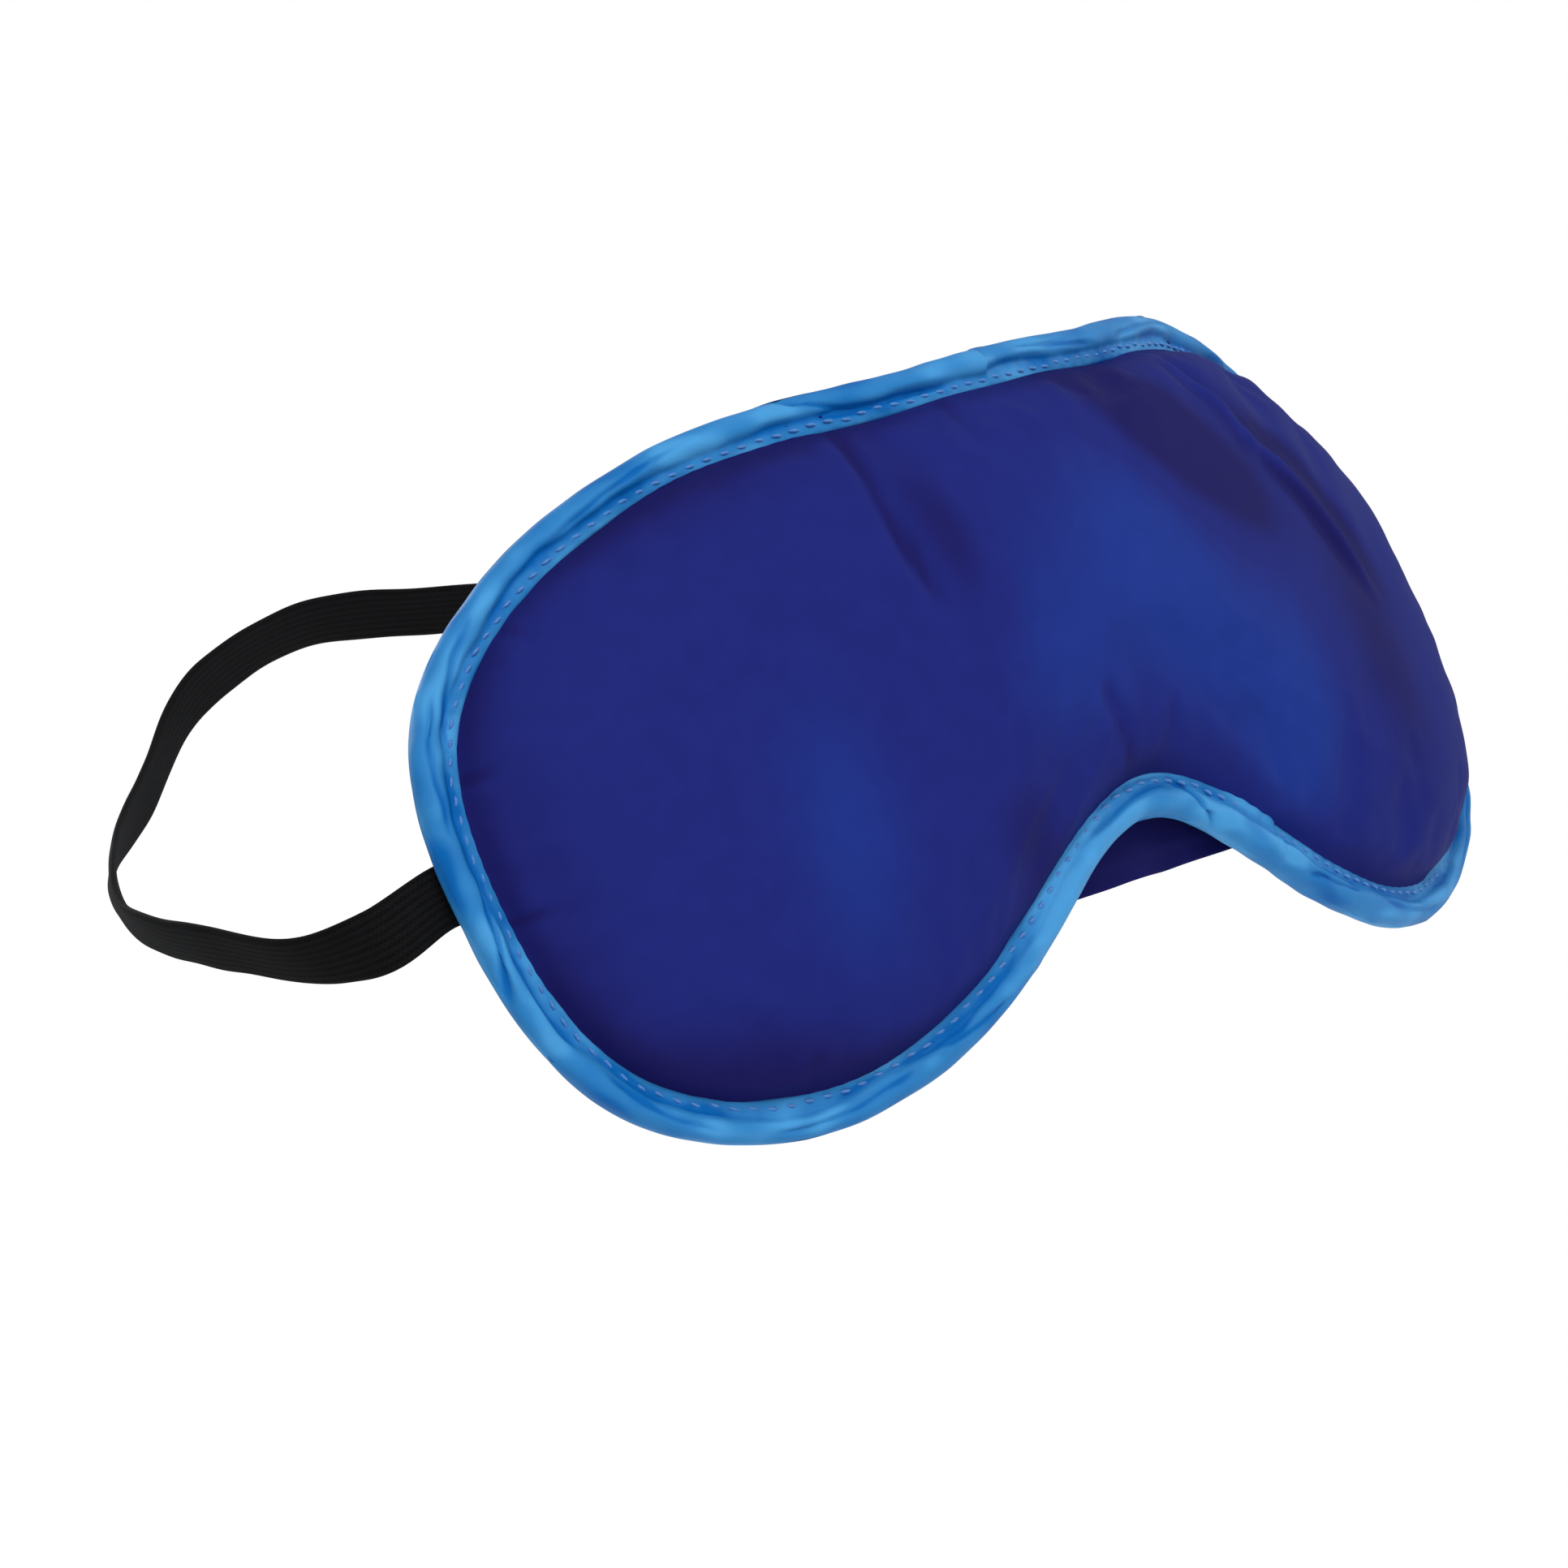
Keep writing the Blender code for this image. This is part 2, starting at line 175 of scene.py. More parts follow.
@dataclass(frozen=True)
class MaskPattern:
    """The mask's flat outline and the way it bends round the face.

    The half outline is given as shares of the half length, and of the brow height above the tip
    line or of the cheek depth below it.
    """

    half_length: float = 0.0965
    brow_height: float = 0.0453
    cheek_depth: float = 0.0417
    notch_apex: float = -0.018
    half_outline: tuple[tuple[float, float], ...] = (
        (0.24, 1.00), (0.50, 1.00), (0.76, 0.83), (0.94, 0.50), (0.99, 0.05),
        (0.95, -0.52), (0.80, -0.89), (0.56, -1.00), (0.32, -0.83), (0.135, -0.55),
    )
    bridge_turn: float = 0.97
    tip_ease: float = 0.83
    tip_lean: float = 0.10
    upper_corner: float = 3.75
    lower_corner: float = 6.45

    def knots(self) -> np.ndarray:
        """Lays out the outline's knots from its half.

        Returns:
            The knots, clockwise from the middle of the brow.
        """
        half = [
            (share * self.half_length, height * self._reach(height))
            for share, height in self.half_outline
        ]
        mirrored = [(-u, v) for u, v in reversed(half)]
        return np.array([(0.0, self.brow_height)] + half + [(0.0, self.notch_apex)] + mirrored)

    def _reach(self, height: float) -> float:
        """The height that a share above or below the tip line is taken of."""
        return self.brow_height if height > 0 else self.cheek_depth

    def outline(self, place: np.ndarray, inset: np.ndarray | float = 0.0) -> np.ndarray:
        """Reads the flat outline, moved in square to itself.

        Args:
            place: Where to read it, in knots from the middle of the brow.
            inset: How far in.

        Returns:
            The points, with one more axis than place.
        """
        curve, tangent = periodic_spline(self.knots(), place)
        inward = np.stack([tangent[..., 1], -tangent[..., 0]], -1)
        return curve + inward * np.asarray(inset, float)[..., None]

    def places(self, count: int, inset: float = 0.0) -> tuple[np.ndarray, float]:
        """Places spaced evenly by length round the outline.

        Args:
            count: How many places.
            inset: How far in the line whose length counts lies.

        Returns:
            The places in knots from the middle of the brow, and the whole length.
        """
        total = len(self.knots())
        dense = np.linspace(0.0, total, 4001)
        along = run_lengths(self.outline(dense, inset))
        wanted = np.arange(count) * along[-1] / count
        return np.interp(wanted, along, dense), float(along[-1])

    def wrap(self, u: np.ndarray, v: np.ndarray, w: np.ndarray | float) -> np.ndarray:
        """Bends flat points round the face.

        The cloth's heading at a share s of the half length is bridge_turn s - tip_ease s^3, its
        middle line is the running integral of that heading, and its top leans back by
        tip_lean s^2.

        Args:
            u: Distance along the mask from the bridge.
            v: Height from the tip line.
            w: Distance out from the middle layer, towards the front.

        Returns:
            The points in space, with one more axis.
        """
        u, v, w = np.broadcast_arrays(*(np.asarray(x, float) for x in (u, v, w)))
        steps = np.linspace(0, self.half_length * 1.1, 221)
        share = steps / self.half_length
        turn = self.bridge_turn * share - self.tip_ease * share**3
        middle = (turn[1:] + turn[:-1]) / 2
        along = np.concatenate([[0.0], np.cumsum(np.cos(middle) * steps[1])])
        back = np.concatenate([[0.0], np.cumsum(np.sin(middle) * steps[1])])
        reach, side = np.abs(u), np.sign(u)
        heading = np.interp(reach, steps, turn) * side
        lean = self.tip_lean * (reach / self.half_length) ** 2
        out = w - np.sin(lean) * v
        x = np.interp(reach, steps, along) * side + np.sin(heading) * out
        y = np.interp(reach, steps, back) - np.cos(heading) * out
        return np.stack([x, y, np.cos(lean) * v], -1)

    def edge_distance(self, flat: np.ndarray, inset: float) -> np.ndarray:
        """Measures how far flat points lie from a line inside the outline.

        Args:
            flat: Flat points.
            inset: How far in from the edge the line runs.

        Returns:
            The distances in metres.
        """
        edge = self.outline(np.linspace(0.0, len(self.knots()), 1200, endpoint=False), inset)
        rows = [
            np.linalg.norm(part[:, None, :] - edge[None, :, :], axis=2).min(1)
            for part in np.array_split(flat.reshape(-1, 2), 40)
        ]
        return np.concatenate(rows).reshape(flat.shape[:-1])

    def patch(self, columns: int, rows: int, inset: float) -> np.ndarray:
        """A lattice of flat points that fills the outline without a pole.

        The outline is split at four corners into brow, right, cheek and left curves, and the
        lattice blends them: (1 - b) cheek(a) + b brow(a) + (1 - a) left(b) + a right(b), less
        the same blend of the four corners.

        Args:
            columns: Points along the mask.
            rows: Points up the mask.
            inset: How far in from the edge the lattice ends.

        Returns:
            The lattice, rows by columns by 2.
        """
        total = len(self.knots())
        upper, lower = self.upper_corner, self.lower_corner
        brow = self._run(-upper, upper, columns, inset)
        right = self._run(lower, upper, rows, inset)
        cheek = self._run(total - lower, lower, columns, inset)
        left = self._run(total - lower, total - upper, rows, inset)
        a = np.linspace(0.0, 1.0, columns)[None, :, None]
        b = np.linspace(0.0, 1.0, rows)[:, None, None]
        ruled = (1 - b) * cheek[None] + b * brow[None]
        ruled = ruled + (1 - a) * left[:, None] + a * right[:, None]
        corners = (1 - b) * ((1 - a) * cheek[0] + a * cheek[-1])
        corners = corners + b * ((1 - a) * brow[0] + a * brow[-1])
        return ruled - corners

    def _run(self, start: float, end: float, count: int, inset: float) -> np.ndarray:
        """Spaces points evenly by length on the outline between two places.

        Args:
            start: The first place, in knots.
            end: The last place.
            count: How many points.
            inset: How far in from the edge they lie.

        Returns:
            The points, one a row.
        """
        dense = self.outline(np.linspace(start, end, 1500), inset)
        along = run_lengths(dense)
        at = np.linspace(0.0, along[-1], count)
        return np.stack([np.interp(at, along, dense[:, k]) for k in range(2)], 1)


# ---------------------------------------------------------------- mesh makers


def smooth_mesh(name: str, points: np.ndarray, faces: list[list[int]]) -> bpy.types.Mesh:
    """Makes a mesh that is shaded smooth.

    Args:
        name: The mesh's name.
        points: The points, with any number of axes before the last.
        faces: The numbers of each face's points.

    Returns:
        The mesh.
    """
    mesh = bpy.data.meshes.new(name)
    mesh.from_pydata(points.reshape(-1, 3).tolist(), [], faces)
    mesh.polygons.foreach_set("use_smooth", [True] * len(mesh.polygons))
    mesh.update()
    return mesh


def lattice_quads(index: np.ndarray) -> np.ndarray:
    """Joins the neighbours on the last two axes of lattices of point numbers.

    Args:
        index: The point numbers.

    Returns:
        One quad a row.
    """
    low, high = index[..., :-1, :], index[..., 1:, :]
    corners = (low[..., :-1], low[..., 1:], high[..., 1:], high[..., :-1])
    return np.stack(corners, -1).reshape(-1, 4)


def lattice_mesh(
    name: str,
    points: np.ndarray,
    uv: np.ndarray | None = None,
    round_rows: bool = False,
    round_columns: bool = False,
    caps: bool = False,
) -> bpy.types.Mesh:
    """Joins a lattice of points into quads.

    Args:
        name: The mesh's name.
        points: Rows by columns by 3.
        uv: Flat coordinates of the lattice, with one more row or column where it closes.
        round_rows: Whether the last row joins the first.
        round_columns: Whether the last column joins the first.
        caps: Whether the first and last rows, each a closed ring, are filled.

    Returns:
        The mesh, shaded smooth, with a UV map where uv is given.
    """
    rows, columns = points.shape[:2]
    index = np.arange(rows * columns).reshape(rows, columns)
    if round_rows:
        index = np.vstack([index, index[:1]])
    if round_columns:
        index = np.hstack([index, index[:, :1]])
    quads = lattice_quads(index)
    faces = quads.tolist()
    if caps:
        faces += [index[0, :columns][::-1].tolist(), index[-1, :columns].tolist()]
    mesh = smooth_mesh(name, points, faces)
    if uv is not None:
        layer = mesh.uv_layers.new(name="flat")
        corners = np.stack([uv[:-1, :-1], uv[:-1, 1:], uv[1:, 1:], uv[1:, :-1]], 2)
        flat = np.zeros((len(mesh.loops), 2), np.float32)
        flat[: quads.size] = corners.reshape(-1, 2)
        layer.data.foreach_set("uv", flat.ravel())
    return mesh


def pad_mesh(name: str, front: np.ndarray, back: np.ndarray) -> bpy.types.Mesh:
    """Closes the gap between two lattices of one size all round.

    Args:
        name: The mesh's name.
        front: The front lattice.
        back: The back lattice.

    Returns:
        A closed mesh.
    """
    rows, columns = front.shape[:2]
    index = np.arange(rows * columns * 2).reshape(rows, columns * 2)
    faces = lattice_quads(np.hstack([index, index[:, :1]])).tolist()
    for row, turn in ((0, 1), (rows - 1, -1)):
        near, far = index[row, :columns], index[row, ::-1][:columns]
        edge = np.stack([near[:-1], far[:-1], far[1:], near[1:]], -1)
        faces += edge[:, ::turn].tolist()
    return smooth_mesh(name, np.concatenate([front, back[:, ::-1]], 1), faces)


def tubes_mesh(name: str, points: np.ndarray) -> bpy.types.Mesh:
    """Many short closed tubes in one mesh.

    Args:
        name: The mesh's name.
        points: Tubes by rings by corners by 3.

    Returns:
        The mesh, shaded smooth, with both ends of each tube filled.
    """
    tubes, rings, corners = points.shape[:3]
    index = np.arange(tubes * rings * corners).reshape(tubes, rings, corners)
    faces = lattice_quads(np.concatenate([index, index[:, :, :1]], 2)).tolist()
    faces += index[:, 0, ::-1].tolist() + index[:, -1].tolist()
    return smooth_mesh(name, points, faces)


def face_out(mesh: bpy.types.Mesh) -> bpy.types.Mesh:
    """Turns a closed mesh's faces outwards where its signed volume is negative.

    Args:
        mesh: The mesh, which is changed.

    Returns:
        The same mesh.
    """
    mesh.calc_loop_triangles()
    corners = np.zeros(len(mesh.loop_triangles) * 3, np.int32)
    mesh.loop_triangles.foreach_get("vertices", corners)
    places = np.zeros(len(mesh.vertices) * 3)
    mesh.vertices.foreach_get("co", places)
    a, b, c = places.reshape(-1, 3)[corners.reshape(-1, 3)].transpose(1, 0, 2)
    if np.einsum("ij,ij->i", a, np.cross(b, c)).sum() < 0:
        mesh.flip_normals()
    return mesh


def add_piece(name: str, mesh: bpy.types.Mesh, material: bpy.types.Material) -> bpy.types.Object:
    """Links a mesh as a piece with its material.

    Args:
        name: The piece's name.
        mesh: Its mesh.
        material: Its material.

    Returns:
        The piece.
    """
    piece = bpy.data.objects.new(name, mesh)
    bpy.context.scene.collection.objects.link(piece)
    mesh.materials.append(material)
    return piece


def thread_piece(name: str, points: np.ndarray, finish: ThreadFinish) -> bpy.types.Object:
    """Adds many short threads, as threads by rings by corners by 3 points, as one piece."""
    return add_piece(name, face_out(tubes_mesh(name, points)), finish.material())


def thread_shape(radius: float) -> tuple[np.ndarray, np.ndarray, np.ndarray]:
    """The shape of a short thread whose round section narrows to both ends.

    Args:
        radius: The thread's radius at its middle.

    Returns:
        Five places along it from -1 to 1, and the two offsets of its six-cornered section,
        all of which broadcast to threads by rings by corners.
    """
    rings, corners = 5, 6
    t = np.linspace(-1, 1, rings)[None, :, None]
    turn = (np.arange(corners) * math.tau / corners)[None, None, :]
    size = radius * np.sqrt(np.clip(1.05 - t**2, 0.05, 1))
    return t, size * np.cos(turn), size * np.sin(turn)


def lattice_normals(points: np.ndarray) -> np.ndarray:
    """Unit normals of a lattice, from the cross product of its two directions.

    Args:
        points: Rows (up the mask) by columns (along it) by 3.

    Returns:
        Unit normals that point to the front.
    """
    across = np.gradient(points, axis=1)
    up = np.gradient(points, axis=0)
    return unit(np.cross(across, up))


# ---------------------------------------------------------------- finishes


class NodeTree:
    """A material's node tree with short calls to add and join nodes."""

    def __init__(self, name: str) -> None:
        """Starts a material with a Principled shader.

        Args:
            name: The material's name.
        """
        self.material = bpy.data.materials.new(name)
        self.material.use_nodes = True
        self.nodes = self.material.node_tree.nodes
        self.links = self.material.node_tree.links
        self.shader = self.nodes["Principled BSDF"]

    def add(self, kind: str, settings: dict | None = None, **inputs: object) -> bpy.types.Node:
        """Adds a node.

        Args:
            kind: The node's type.
            settings: Attributes to set on it.
            **inputs: Values or sockets for its inputs, with spaces written as underscores.

        Returns:
            The node.
        """
        node = self.nodes.new(kind)
        for key, value in (settings or {}).items():
            setattr(node, key, value)
        self.fill(node, inputs)
        return node

    def fill(self, node: bpy.types.Node, inputs: dict[str, object]) -> None:
        """Sets a node's inputs, whose names have underscores for spaces."""
        for key, value in inputs.items():
            self.put(node, key.replace("_", " "), value)

    def finish(self, **inputs: object) -> bpy.types.Material:
        """Sets the shader's inputs and gives the material."""
        self.fill(self.shader, inputs)
        return self.material

    def put(self, node: bpy.types.Node, socket: str | int, value: object) -> None:
        """Sets an input to a value, or joins a socket to it.

        Args:
            node: The node.
            socket: The input's name or number.
            value: A plain value, or the socket to join.
        """
        if isinstance(value, bpy.types.NodeSocket):
            self.links.new(value, node.inputs[socket])
        else:
            node.inputs[socket].default_value = value

    def math(self, operation: str, a: object, b: object = 0.0, c: object = 0.0) -> object:
        """Adds a Math node.

        Args:
            operation: What it does.
            a: Its first input, a value or a socket.
            b: Its second input.
            c: Its third input.

        Returns:
            The result's socket.
        """
        node = self.add("ShaderNodeMath", {"operation": operation})
        for i, value in enumerate((a, b, c)):
            self.put(node, i, value)
        return node.outputs[0]

    def mix(self, share: object, a: object, b: object, blend: str = "MIX") -> object:
        """Mixes two colours.

        Args:
            share: How much of the second is in the mix.
            a: The first colour, or its socket.
            b: The second.
            blend: How they are mixed.

        Returns:
            The mixed colour's socket.
        """
        node = self.add("ShaderNodeMix", {"data_type": "RGBA", "blend_type": blend})
        self.put(node, 0, share)
        for i, value in ((6, a), (7, b)):
            self.put(node, i, (*value, 1.0) if isinstance(value, tuple) else value)
        return node.outputs[2]

    def ramp(self, value: object, low: float, high: float) -> object:
        """Eases a value from 0 at low to 1 at high.

        Args:
            value: The value's socket.
            low: Where the ramp starts.
            high: Where it ends.

        Returns:
            The eased value's socket.
        """
        node = self.add("ShaderNodeMapRange", {"interpolation_type": "SMOOTHSTEP"})
        for i, limit in enumerate((value, low, high)):
            self.put(node, i, limit)
        return node.outputs[0]

    def wave(
        self, place: object, direction: str, scale: float, distortion: float = 0.0
    ) -> object:
        """Sine bands of a place, from 0 to 1.

        Args:
            place: The socket of the coordinates.
            direction: Which way the bands follow one another.
            scale: How close they lie.
            distortion: How far they waver.

        Returns:
            The bands' socket.
        """
        kinds = {"wave_type": "BANDS", "bands_direction": direction, "wave_profile": "SIN"}
        inputs = {"Vector": place, "Scale": scale, "Distortion": distortion}
        return self.add("ShaderNodeTexWave", kinds, **inputs).outputs["Fac"]

    def noise(self, place: object, scale: float, detail: float = 3.0) -> object:
        """Noise of a place, from 0 to 1."""
        node = self.add("ShaderNodeTexNoise", None, Vector=place, Scale=scale, Detail=detail)
        return node.outputs["Fac"]

    def bump(
        self, height: object, strength: float, distance: float, below: object = None
    ) -> object:
        """Adds a bump, on top of another one where below is given.

        Args:
            height: The socket of the heights.
            strength: How much of the bump shows.
            distance: How high a height of 1 stands, in metres.
            below: The normal that it is laid on.

        Returns:
            The normal's socket.
        """
        node = self.add("ShaderNodeBump", None, Height=height, Strength=strength, Distance=distance)
        if below is not None:
            self.put(node, "Normal", below)
        return node.outputs[0]


# The tone attribute holds painted light: painted sheen where it is above 0 and painted shade where
# it is below. On the lining it also holds random patches of tone.
TONE = "tone"  # how light a point of cloth is: -1 in its shade colour, 1 in its light one


def set_tone(mesh: bpy.types.Mesh, tone: np.ndarray) -> None:
    """Stores each point's tone on a mesh."""
    layer = mesh.attributes.new(TONE, "FLOAT", "POINT")
    layer.data.foreach_set("value", np.asarray(tone, np.float32).ravel())


@dataclass(frozen=True)
class SatinFinish:
    """Woven satin: a smooth face with a soft sheen and a fine slanted weave."""

    name: str
    colour: Colour
    # shade and light are darker and lighter copies of colour. The tone attribute mixes them in as
    # painted shade and painted sheen, and the drift noise mixes them in at random.
    shade: Colour
    light: Colour
    roughness: float = 0.52
    specular: float = 0.03
    specular_tint: Colour = (0.35, 0.45, 1.0)
    sheen: float = 0.004
    sheen_tint: Colour = (0.25, 0.35, 0.9)
    thread: float = 0.00032
    weave: float = 0.10
    crumple: float = 0.10
    patch_size: float = 0.045
    drift: float = 1.2

    def material(self) -> bpy.types.Material:
        """Builds the satin.

        Returns:
            A material whose colour drifts at random between shade and light over patch_size, and is
            moved further towards them by the painted sheen and shade in the tone attribute, with
            two crossed thread waves and a fine crumple in its bump.
        """
        tree = NodeTree(self.name)
        spot = tree.add("ShaderNodeTexCoord")
        solid = spot.outputs["Object"]
        drift = tree.noise(solid, 1.0 / self.patch_size, 1.5)
        fine = tree.noise(solid, 260.0, 4.0)
        toned = tree.add("ShaderNodeAttribute", {"attribute_name": TONE}).outputs["Fac"]
        tone = tree.math("MULTIPLY_ADD", tree.math("SUBTRACT", drift, 0.5), self.drift, toned)
        # Mix towards the shade colour below tone 0 and the light colour above it: painted shade and
        # painted sheen from the attribute, random drift from the noise.
        colour = tree.mix(tree.ramp(tone, -1.0, 0.0), self.shade, self.colour)
        colour = tree.mix(tree.ramp(tone, 0.0, 1.0), colour, self.light)
        worn = tree.math("MULTIPLY_ADD", fine, 0.22, 0.89)
        crumpled = tree.bump(tree.noise(solid, 90.0, 3.0), self.crumple, 0.0008)
        threads = self._threads(tree, spot.outputs["UV"])
        return tree.finish(
            Base_Color=tree.mix(1.0, colour, worn, "MULTIPLY"),
            Roughness=tree.math("MULTIPLY_ADD", fine, 0.10, self.roughness - 0.05),
            Specular_IOR_Level=self.specular,
            Specular_Tint=(*self.specular_tint, 1.0),
            Sheen_Weight=self.sheen,
            Sheen_Roughness=0.45,
            Sheen_Tint=(*self.sheen_tint, 1.0),
            Normal=tree.bump(threads, self.weave, 0.0001, crumpled),
        )

    def _threads(self, tree: NodeTree, cloth: object) -> object:
        """Two crossed sets of threads, one coarser.

        Args:
            tree: The material's tree.
            cloth: The coordinates that they follow.

        Returns:
            The socket of their height, from 0 to 1.
        """
        scale = 1.0 / (self.thread * math.tau) * 0.5
        warp = tree.wave(cloth, "DIAGONAL", scale, 0.4)
        weft = tree.wave(cloth, "X", scale * 0.8)
        return tree.math("MULTIPLY", warp, weft)


@dataclass(frozen=True)
class ElasticFinish:
    """Woven elastic: ribs along the band, fine crossing threads and a dull face."""

    name: str
    colour: Colour = (0.0026, 0.0026, 0.0029)
    raised: Colour = (0.0074, 0.0074, 0.0080)
    rib: float = 0.00095
    pick: float = 0.00060
    roughness: float = 0.80
    specular: float = 0.08
    sheen: float = 0.006

    def material(self) -> bpy.types.Material:
        """Builds the elastic.

        Returns:
            A material whose UV runs along the band in x and across it in y, in metres.
        """
        tree = NodeTree(self.name)
        spot = tree.add("ShaderNodeTexCoord")
        split = tree.add("ShaderNodeSeparateXYZ", None, Vector=spot.outputs["UV"])
        along, across = split.outputs[0], split.outputs[1]
        ribs = tree.math("SINE", tree.math("MULTIPLY", across, math.tau / self.rib))
        picks = tree.math("SINE", tree.math("MULTIPLY", along, math.tau / self.pick))
        weave = tree.math("MULTIPLY_ADD", tree.math("MULTIPLY", ribs, picks), 0.25, 0.5)
        height = tree.math("MULTIPLY_ADD", ribs, 0.25, weave)
        fuzz = tree.noise(spot.outputs["Object"], 900.0, 4.0)
        height = tree.math("MULTIPLY_ADD", fuzz, 0.5, height)
        return tree.finish(
            Base_Color=tree.mix(tree.ramp(height, 0.35, 1.1), self.colour, self.raised),
            Roughness=self.roughness,
            Specular_IOR_Level=self.specular,
            Sheen_Weight=self.sheen,
            Sheen_Roughness=0.5,
            Normal=tree.bump(height, 0.35, 0.00020),
        )


@dataclass(frozen=True)
class ThreadFinish:
    """Twisted sewing thread."""

    name: str
    colour: Colour
    roughness: float = 0.55

    def material(self) -> bpy.types.Material:
        """Builds the thread.

        Returns:
            A material with a fine twist in its bump and colour.
        """
        tree = NodeTree(self.name)
        solid = tree.add("ShaderNodeTexCoord").outputs["Object"]
        twist = tree.wave(solid, "DIAGONAL", 900.0, 1.0)
        dark = tuple(c * 0.75 for c in self.colour)
        return tree.finish(
            Base_Color=tree.mix(twist, dark, self.colour),
            Roughness=self.roughness,
            Sheen_Weight=0.2,
            Normal=tree.bump(twist, 0.4, 0.0001),
        )


@dataclass(frozen=True)
class WaddingFinish:
    """Loose white polyester fibre."""

    name: str = "polyester_wadding"
    colour: Colour = (0.80, 0.80, 0.78)
    shade: Colour = (0.6, 0.6, 0.58)

    def material(self) -> bpy.types.Material:
        """Builds the fibre.

        Returns:
            A material with tangled noise in its bump and colour.
        """
        tree = NodeTree(self.name)
        solid = tree.add("ShaderNodeTexCoord").outputs["Object"]
        tangle = tree.noise(solid, 700.0, 6.0)
        return tree.finish(
            Base_Color=tree.mix(tangle, self.shade, self.colour),
            Roughness=0.95,
            Normal=tree.bump(tangle, 0.6, 0.0006),
        )


# Each satin has its own colour, a darker copy used as painted shade and a lighter copy used as
# painted sheen.
NAVY_SATIN = SatinFinish(
    "front_satin",
    (0.0174, 0.0242, 0.198),
    (0.0148, 0.0128, 0.114),
    (0.0165, 0.0425, 0.285),
    drift=0.7,
)
LINING_SATIN = SatinFinish(
    "lining_satin", (0.017, 0.023, 0.175), (0.015, 0.013, 0.105), (0.016, 0.033, 0.220)
)
# The flap's satin is a darker copy of the lining's, as painted shade where the flap hangs in shadow
# behind the nose notch.
SHADED_FLAP_SATIN = SatinFinish(
    "flap_satin", (0.0130, 0.0118, 0.100), (0.007, 0.004, 0.050), (0.016, 0.017, 0.125)
)
TAPE_SATIN = SatinFinish(
    "binding_satin",
    (0.031, 0.235, 0.585),
    (0.002, 0.140, 0.480),
    (0.075, 0.365, 0.750),
    roughness=0.45,
    specular=0.14,
    specular_tint=(0.55, 0.80, 1.0),
    sheen_tint=(0.5, 0.75, 1.0),
    crumple=0.35,
    patch_size=0.006,
    drift=0.9,
)
TAPE_THREAD = ThreadFinish("binding_thread", (0.085, 0.300, 0.760))
SEAM_THREAD = ThreadFinish("seam_thread", (0.016, 0.014, 0.090))
STRAP_ELASTIC = ElasticFinish("strap_elastic")


# ---------------------------------------------------------------- layers


@dataclass(frozen=True)
class Layers:
    """Heights of the sewn layers, out from the middle one, in metres."""

    cloth: float = 0.0004
    gap: float = 0.0003
    stack_half: float = 0.0010
    binding_half: float = 0.0018
    binding_width: float = 0.0054
    front_crown: float = 0.0110
    back_crown: float = 0.0020
    front_reach: float = 0.026
    back_reach: float = 0.038
    stitch_inset: float = 0.0042
    back_stitch_inset: float = 0.0036


@dataclass(frozen=True)
class Fold:
    """A crease or a ridge laid along a line on the flat pattern.

    Its height is depth at its middle, falling off across the line as a bell of the given width
    and easing in over the first and last quarter of its length. A negative depth is a crease.
    """

    start: tuple[float, float]
    end: tuple[float, float]
    depth: float
    width: float
    bow: float = 0.0
    lip: float = 0.35

    def height(self, flat: np.ndarray) -> np.ndarray:
        """The fold's height at flat points.

        Args:
            flat: Points of the flat pattern.

        Returns:
            The heights: the bell itself, less a wider, shallower bell that gives it raised lips.
        """
        start, end = np.array(self.start), np.array(self.end)
        line = end - start
        length = np.linalg.norm(line)
        ahead = line / length
        side = np.array([-ahead[1], ahead[0]])
        t = (flat - start) @ ahead / length
        off = (flat - start) @ side - self.bow * 4 * t * (1 - t)
        along = smooth_step(-0.05, 0.22, t) * (1 - smooth_step(0.70, 1.05, t))
        shape = bell(off, self.width) - self.lip * bell(off, self.width * 2.6)
        return self.depth * along * shape


@dataclass(frozen=True)
class PaintedLightPatch:
    """A patch of painted light, an upright ellipse turned on the flat pattern: painted sheen where
    its amount is above 0, painted shade where it is below.
    """

    centre: tuple[float, float]
    reach: tuple[float, float]
    amount: float
    turn: float = 0.0

    def tone(self, flat: np.ndarray) -> np.ndarray:
        """The patch's tone at flat points.

        Args:
            flat: Points of the flat pattern.

        Returns:
            The tones: amount exp(-(a^2 + b^2)) in the patch's own turned axes.
        """
        offset = flat - np.array(self.centre)
        c, s = math.cos(math.radians(self.turn)), math.sin(math.radians(self.turn))
        a = (offset[..., 0] * c + offset[..., 1] * s) / self.reach[0]
        b = (offset[..., 1] * c - offset[..., 0] * s) / self.reach[1]
        return self.amount * np.exp(-(a**2) - b**2)


SATIN_CLOTH = {
    "quality": 6,
    "mass": 0.05,
    "tension_stiffness": 12.0,
    "compression_stiffness": 6.0,
    "shear_stiffness": 4.0,
    "bending_stiffness": 1.0,
    "air_damping": 2.0,
    "pin_stiffness": 1.0,
    "shrink_min": -0.006,
    "shrink_max": -0.006,
    "use_pressure": True,
}


